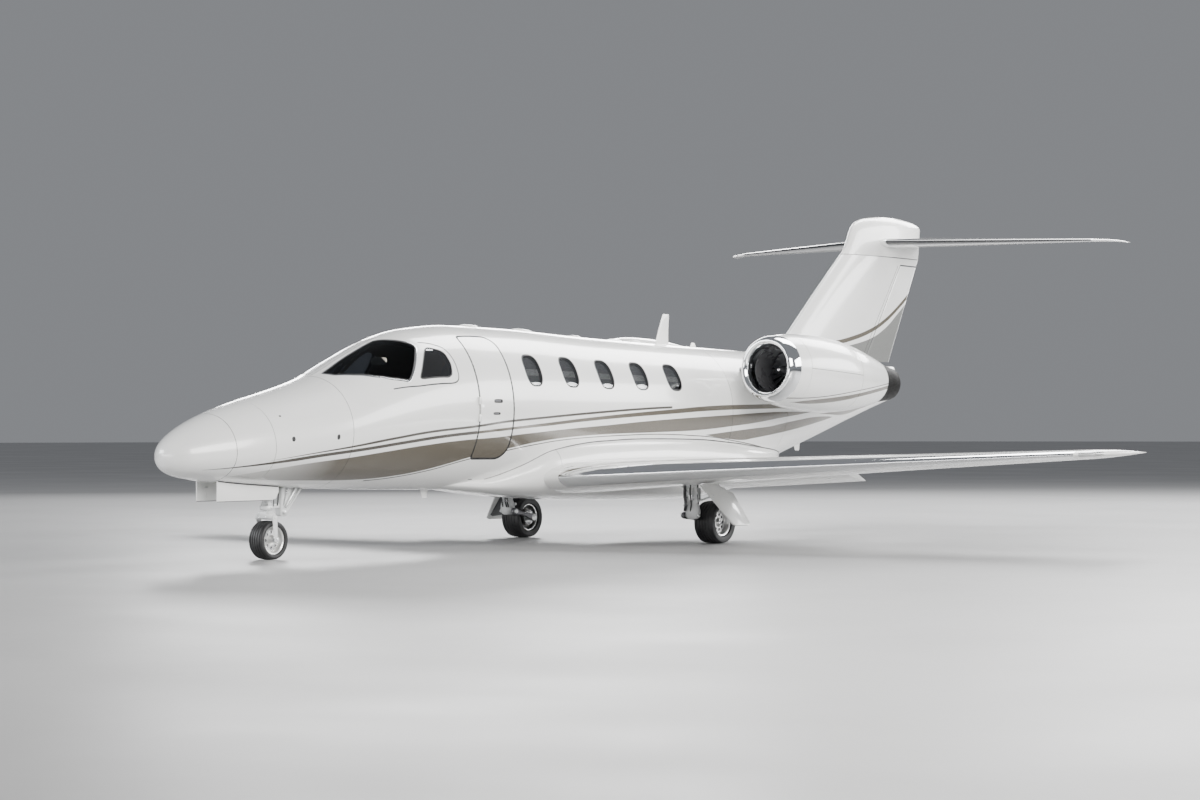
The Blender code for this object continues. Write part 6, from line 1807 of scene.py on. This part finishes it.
def make_cabin_interior():
    low = FLOOR_TOP + GAP
    fit = body_skin([(s, WALL + 0.012) for s in np.linspace(NOSE_END + 0.08, CABIN_END - 0.08, 40)], 72)

    def fitted(data):
        return carved(data, fit.copy(), operation="INTERSECT")

    floor = block((-0.85, NOSE_END + 0.10, FLOOR_TOP - 0.028), (0.85, CABIN_END - 0.10, FLOOR_TOP), 0.004)
    piece("cabin_floor_carpet", [(fitted(floor), "carpet")], replaces=("cabin_floor",))
    panel = carved(block((-0.85, 2.98, low), (0.85, 3.12, 2.00), 0.006),
                   block((-0.60, 2.7, 0.9), (0.60, 3.3, 1.55)))
    dark = [fitted(panel), fitted(block((-0.85, 2.62, 1.99), (0.85, 3.16, 2.035), 0.015))]
    screens, knobs = [], []
    for x in (-0.36, 0.0, 0.36):
        screens.append(block((x - 0.14, 3.118, 1.70), (x + 0.14, 3.128, 1.93), 0.004))
        knobs += [rod((x - 0.10 + 0.05 * k, 3.118, 1.665), (x - 0.10 + 0.05 * k, 3.140, 1.665), 0.009, 14)
                  for k in range(5)]
    for x in (-0.31, 0.31):
        dark += [rod((x, 3.12, 1.60), (x, 3.34, 1.60), 0.016, 20),
                 tube([(x - 0.13, 3.34, 1.72), (x - 0.15, 3.345, 1.62), (x - 0.06, 3.35, 1.59),
                       (x + 0.06, 3.35, 1.59), (x + 0.15, 3.345, 1.62), (x + 0.13, 3.34, 1.72)], 0.015)]
    dark.append(block((-0.13, 3.14, low), (0.13, 3.62, 1.58), 0.015))
    levers = [rod((x, 3.40, 1.57), (x, 3.37, 1.70), 0.009, 14) for x in (-0.04, 0.04)]
    piece("instrument_panel_dressed",
          [(dark, "dark_plastic"), (screens, "screen"), (knobs + levers, "gear_dark")],
          replaces=("instrument_panel",))
    visors = [pad((x - 0.13, 3.20, 2.275), (x + 0.13, 3.225, 2.37), grid=8) for x in (-0.36, 0.36)]
    piece("sun_visors", [(visors, "cream_trim")])
    make_seats("cockpit_seat", [block((-0.45, 3.66, low), (0.45, 3.90, low + 0.03), 0.004)],
               [(x, 3.82, 1) for x in (0.31, -0.31)])
    make_seats("cabin_seat", [block((x - 0.11, 5.60, low), (x + 0.11, 8.95, low + 0.02), 0.004)
                              for x in (-0.39, 0.39)],
               [(x, s, facing) for s, facing in ((5.90, -1), (7.30, 1), (8.60, 1)) for x in (-0.39, 0.39)])


# Small fittings

def dome(s, degrees, half_s, half_across, height, side=1):
    """A low streamlined bump on the body."""
    turn = circle(32)

    def ring(size, lift):
        return skin(s + half_s * size * np.cos(turn),
                    degrees + np.degrees(half_across * size * np.sin(turn) / 0.8), -lift, side)

    rows = [ring(1.0, -0.006)]
    for t in np.linspace(0, math.pi / 2, 7)[:-1]:
        rows.append(ring(math.cos(t) ** 0.6, height * math.sin(t)))
    return loft(rows + [ring(0.0, height)[:1]])


def blade(levels, front, rear):
    """A blade aerial from (z, front s, chord, thickness) levels, cut to the body between two lengths."""
    rings = [[(h * thick / 2, start + a * chord, z) for a, h in aerofoil(40)]
             for z, start, chord, thick in levels]
    return carved(loft(rings), body_envelope(front, rear))


def make_antennas():
    tall = blade([(2.55, 9.20, 0.340, 0.030), (2.66, 9.222, 0.300, 0.024), (2.80, 9.275, 0.245, 0.020),
                  (2.95, 9.34, 0.190, 0.017), (3.04, 9.385, 0.155, 0.014), (3.066, 9.402, 0.128, 0.009)],
                 8.9, 9.9)
    piece("dorsal_blade", [(tall, "white_paint")], replaces=("dorsal_antenna",))
    small = [dome(9.37, 90.0, 0.22, 0.045, 0.010),
             blade([(2.60, 10.02, 0.17, 0.020), (2.655, 10.045, 0.11, 0.014), (2.685, 10.065, 0.070, 0.008)],
                   9.5, 10.6),
             blade([(0.790, 4.36, 0.155, 0.020), (0.70, 4.385, 0.115, 0.015), (0.657, 4.400, 0.085, 0.010)],
                   4.0, 5.0),
             blade([(1.36, 12.56, 0.22, 0.020), (1.24, 12.60, 0.15, 0.015), (1.165, 12.635, 0.10, 0.010)],
                   12.0, 13.2)]
    small += [dome(s, 90.0, half_s, half_across, height) for s, half_s, half_across, height in
              ((5.28, 0.15, 0.10, 0.024), (6.33, 0.17, 0.11, 0.022), (7.45, 0.09, 0.06, 0.020),
               (8.76, 0.11, 0.05, 0.026))]
    piece("small_aerials", [(small, "white_paint")])


def make_ports():
    """Static and vent ports on both sides of the body."""
    dark, bright = [], []
    for _, side in SIDES:
        for s, z, half_s, half_z in ((1.453, 1.405, 0.022, 0.034), (2.122, 1.424, 0.022, 0.034),
                                     (1.371, 1.668, 0.011, 0.011)):
            outline = rounded_outline(s, side_angle(s, z), half_s, half_z * 80, 2.2, 28)
            dark.append(outline_plug(outline, outline, -0.0012, 0.004, side, (1.0, 0.5)))
            bright.append(trim_ring(outline, 0.004, 0.0003, 0.0012, 0.004, side))
        vent = rounded_outline(4.83, -60.0, 0.042, 0.55, 3.0, 28)
        dark.append(outline_plug(vent, vent, -0.0008, 0.006, side, (1.0, 0.5)))
    piece("body_ports", [(dark, "seal"), (bright, "chrome")])


def make_wicks():
    """Static wicks on the trailing edges; each rides on the surface that it stands on."""
    wicks = {}
    for side_name, side in SIDES:
        for table, keys, lift, length, radius, surface in (
                (WING, (5.2, 5.9, 6.6, 7.2), 0.004, 0.14, 0.0028, "aileron"),
                (TAILPLANE, (1.2, 2.0, 2.8), 0.002, 0.075, 0.0024, "elevator")):
            for x in keys:
                row = row_at(table, x)
                foot = spot(side * x, row[2] - 0.03, row[3] + lift)
                body = "airframe" if x > AILERON_OUT else f"{surface}_{side_name}"
                wicks.setdefault(body, []).append(rod(foot, foot + Vector((0, length, 0)), radius, 10))
    for body in sorted(wicks):
        piece(f"static_wicks_{body}", [(wicks[body], "static_wick")], body=body)


def make_lamps():
    section = aerofoil(40, nose_start(0.045))
    for side_name, side in SIDES:
        rows = []
        for x in np.linspace(7.36, 7.60, 7):
            row = row_at(WING, x)
            rows.append(panel_ring([x, row[1] + 0.003 - 0.0045, row[2], row[3], row[4] * 1.004], section,
                                   grow=0.001))
        piece(f"wing_light_{side_name}", [(loft(rows), "clear_lens")], side=side)
    lamp = turned([(0, 0), (0, 0.024), (0.014, 0.022), (0.026, 0.012), (0.030, 0)], 32,
                  (0, 16.050, 4.40), (0, 1, 0), False)
    piece("tail_lamp", [(lamp, "clear_lens")])


def make_fuel_caps():
    x, part = 4.2, 0.35
    row = row_at(WING, x)
    s, z = row[1] + part * (row[2] - row[1]), row[3] + half_depth(WING, x, part) - 0.002
    profile = [(0, 0), (0, 0.050), (0.003, 0.050), (0.004, 0.046), (0.004, 0.012), (0.007, 0.010), (0.007, 0)]
    caps = [turned(profile, 40, (side * x, s, z), (0, 0, 1), False) for _, side in SIDES]
    piece("fuel_caps", [(caps, "gear_metal")])


# Scene

def make_stage():
    floor = bmesh.new()
    bmesh.ops.create_circle(floor, cap_ends=True, segments=96, radius=160)
    mesh = to_mesh(floor, "floor")
    shader = Shader("floor", roughness=0.42)
    speck = shader.noise(0.35, 4.0)
    shader.set("Base Color", shader.mix(speck, (0.40, 0.40, 0.40), (0.37, 0.37, 0.372)))
    shader.set("Roughness", shader.span(speck, 0.3, 0.7, 0.36, 0.48))
    mesh.materials.append(shader.material)
    item = bpy.data.objects.new("floor", mesh)
    bpy.context.scene.collection.objects.link(item)


def area_light(name, place, target, size, power, colour=(1.0, 1.0, 1.0)):
    data = bpy.data.lights.new(name, "AREA")
    data.shape = "RECTANGLE"
    data.size, data.size_y = size
    data.energy = power
    data.color = colour
    item = bpy.data.objects.new(name, data)
    item.location = place
    item.rotation_euler = (Vector(target) - Vector(place)).to_track_quat("-Z", "Y").to_euler()
    bpy.context.scene.collection.objects.link(item)


def make_lights():
    """Long soft boxes over the body and beside it, so that each flank shows one bright band."""
    area_light("crown", (0.0, 15.0, 13.0), (0.0, 10.0, 1.5), (7.0, 20.0), 6500.0)
    area_light("port_aft", (17.0, 19.0, 8.5), (0.0, 1.0, 1.6), (20.0, 7.0), 5200.0)
    area_light("port_fore", (24.0, -9.0, 12.0), (0.0, -1.0, 1.6), (22.0, 10.0), 10200.0, (1.0, 0.985, 0.96))
    area_light("starboard_aft", (-17.0, 17.0, 9.0), (0.0, 1.0, 1.6), (14.0, 4.0), 3000.0)
    area_light("starboard_fore", (-15.0, -19.0, 9.0), (0.0, -3.0, 1.6), (12.0, 5.0), 2800.0,
               (0.96, 0.98, 1.0))
    area_light("front", (-5.0, -29.0, 4.0), (2.0, 0.0, 1.2), (26.0, 3.2), 2400.0)
    studio = bpy.data.worlds.new("studio")
    bpy.context.scene.world = studio
    studio.use_nodes = True
    background = studio.node_tree.nodes["Background"]
    background.inputs["Color"].default_value = (0.30, 0.31, 0.33, 1.0)
    background.inputs["Strength"].default_value = 0.8


def make_camera():
    data = bpy.data.cameras.new("camera")
    data.sensor_width = 36.0
    data.lens = 87.1
    data.clip_end = 500.0
    item = bpy.data.objects.new("camera", data)
    yaw, pitch, roll = 0.660, 0.006, -0.001
    forward = Vector((-math.sin(yaw) * math.cos(pitch), math.cos(yaw) * math.cos(pitch), math.sin(pitch)))
    level = forward.cross(Vector((0, 0, 1))).normalized()
    raised = level.cross(forward)
    right = level * math.cos(roll) + raised * math.sin(roll)
    up = raised * math.cos(roll) - level * math.sin(roll)
    turn = Matrix((right, up, -forward)).transposed().to_4x4()
    item.matrix_world = Matrix.Translation((23.737, -30.723, 1.649)) @ turn
    bpy.context.scene.collection.objects.link(item)
    bpy.context.scene.camera = item


make_camera()
make_lights()
make_materials()
make_stage()
make_body()
make_fairing()
make_wings()
make_fin()
make_tailplane()
make_pods()
make_post()
make_nose_gear()
make_main_gear()
make_cabin_interior()
make_antennas()
make_ports()
make_wicks()
make_lamps()
make_fuel_caps()
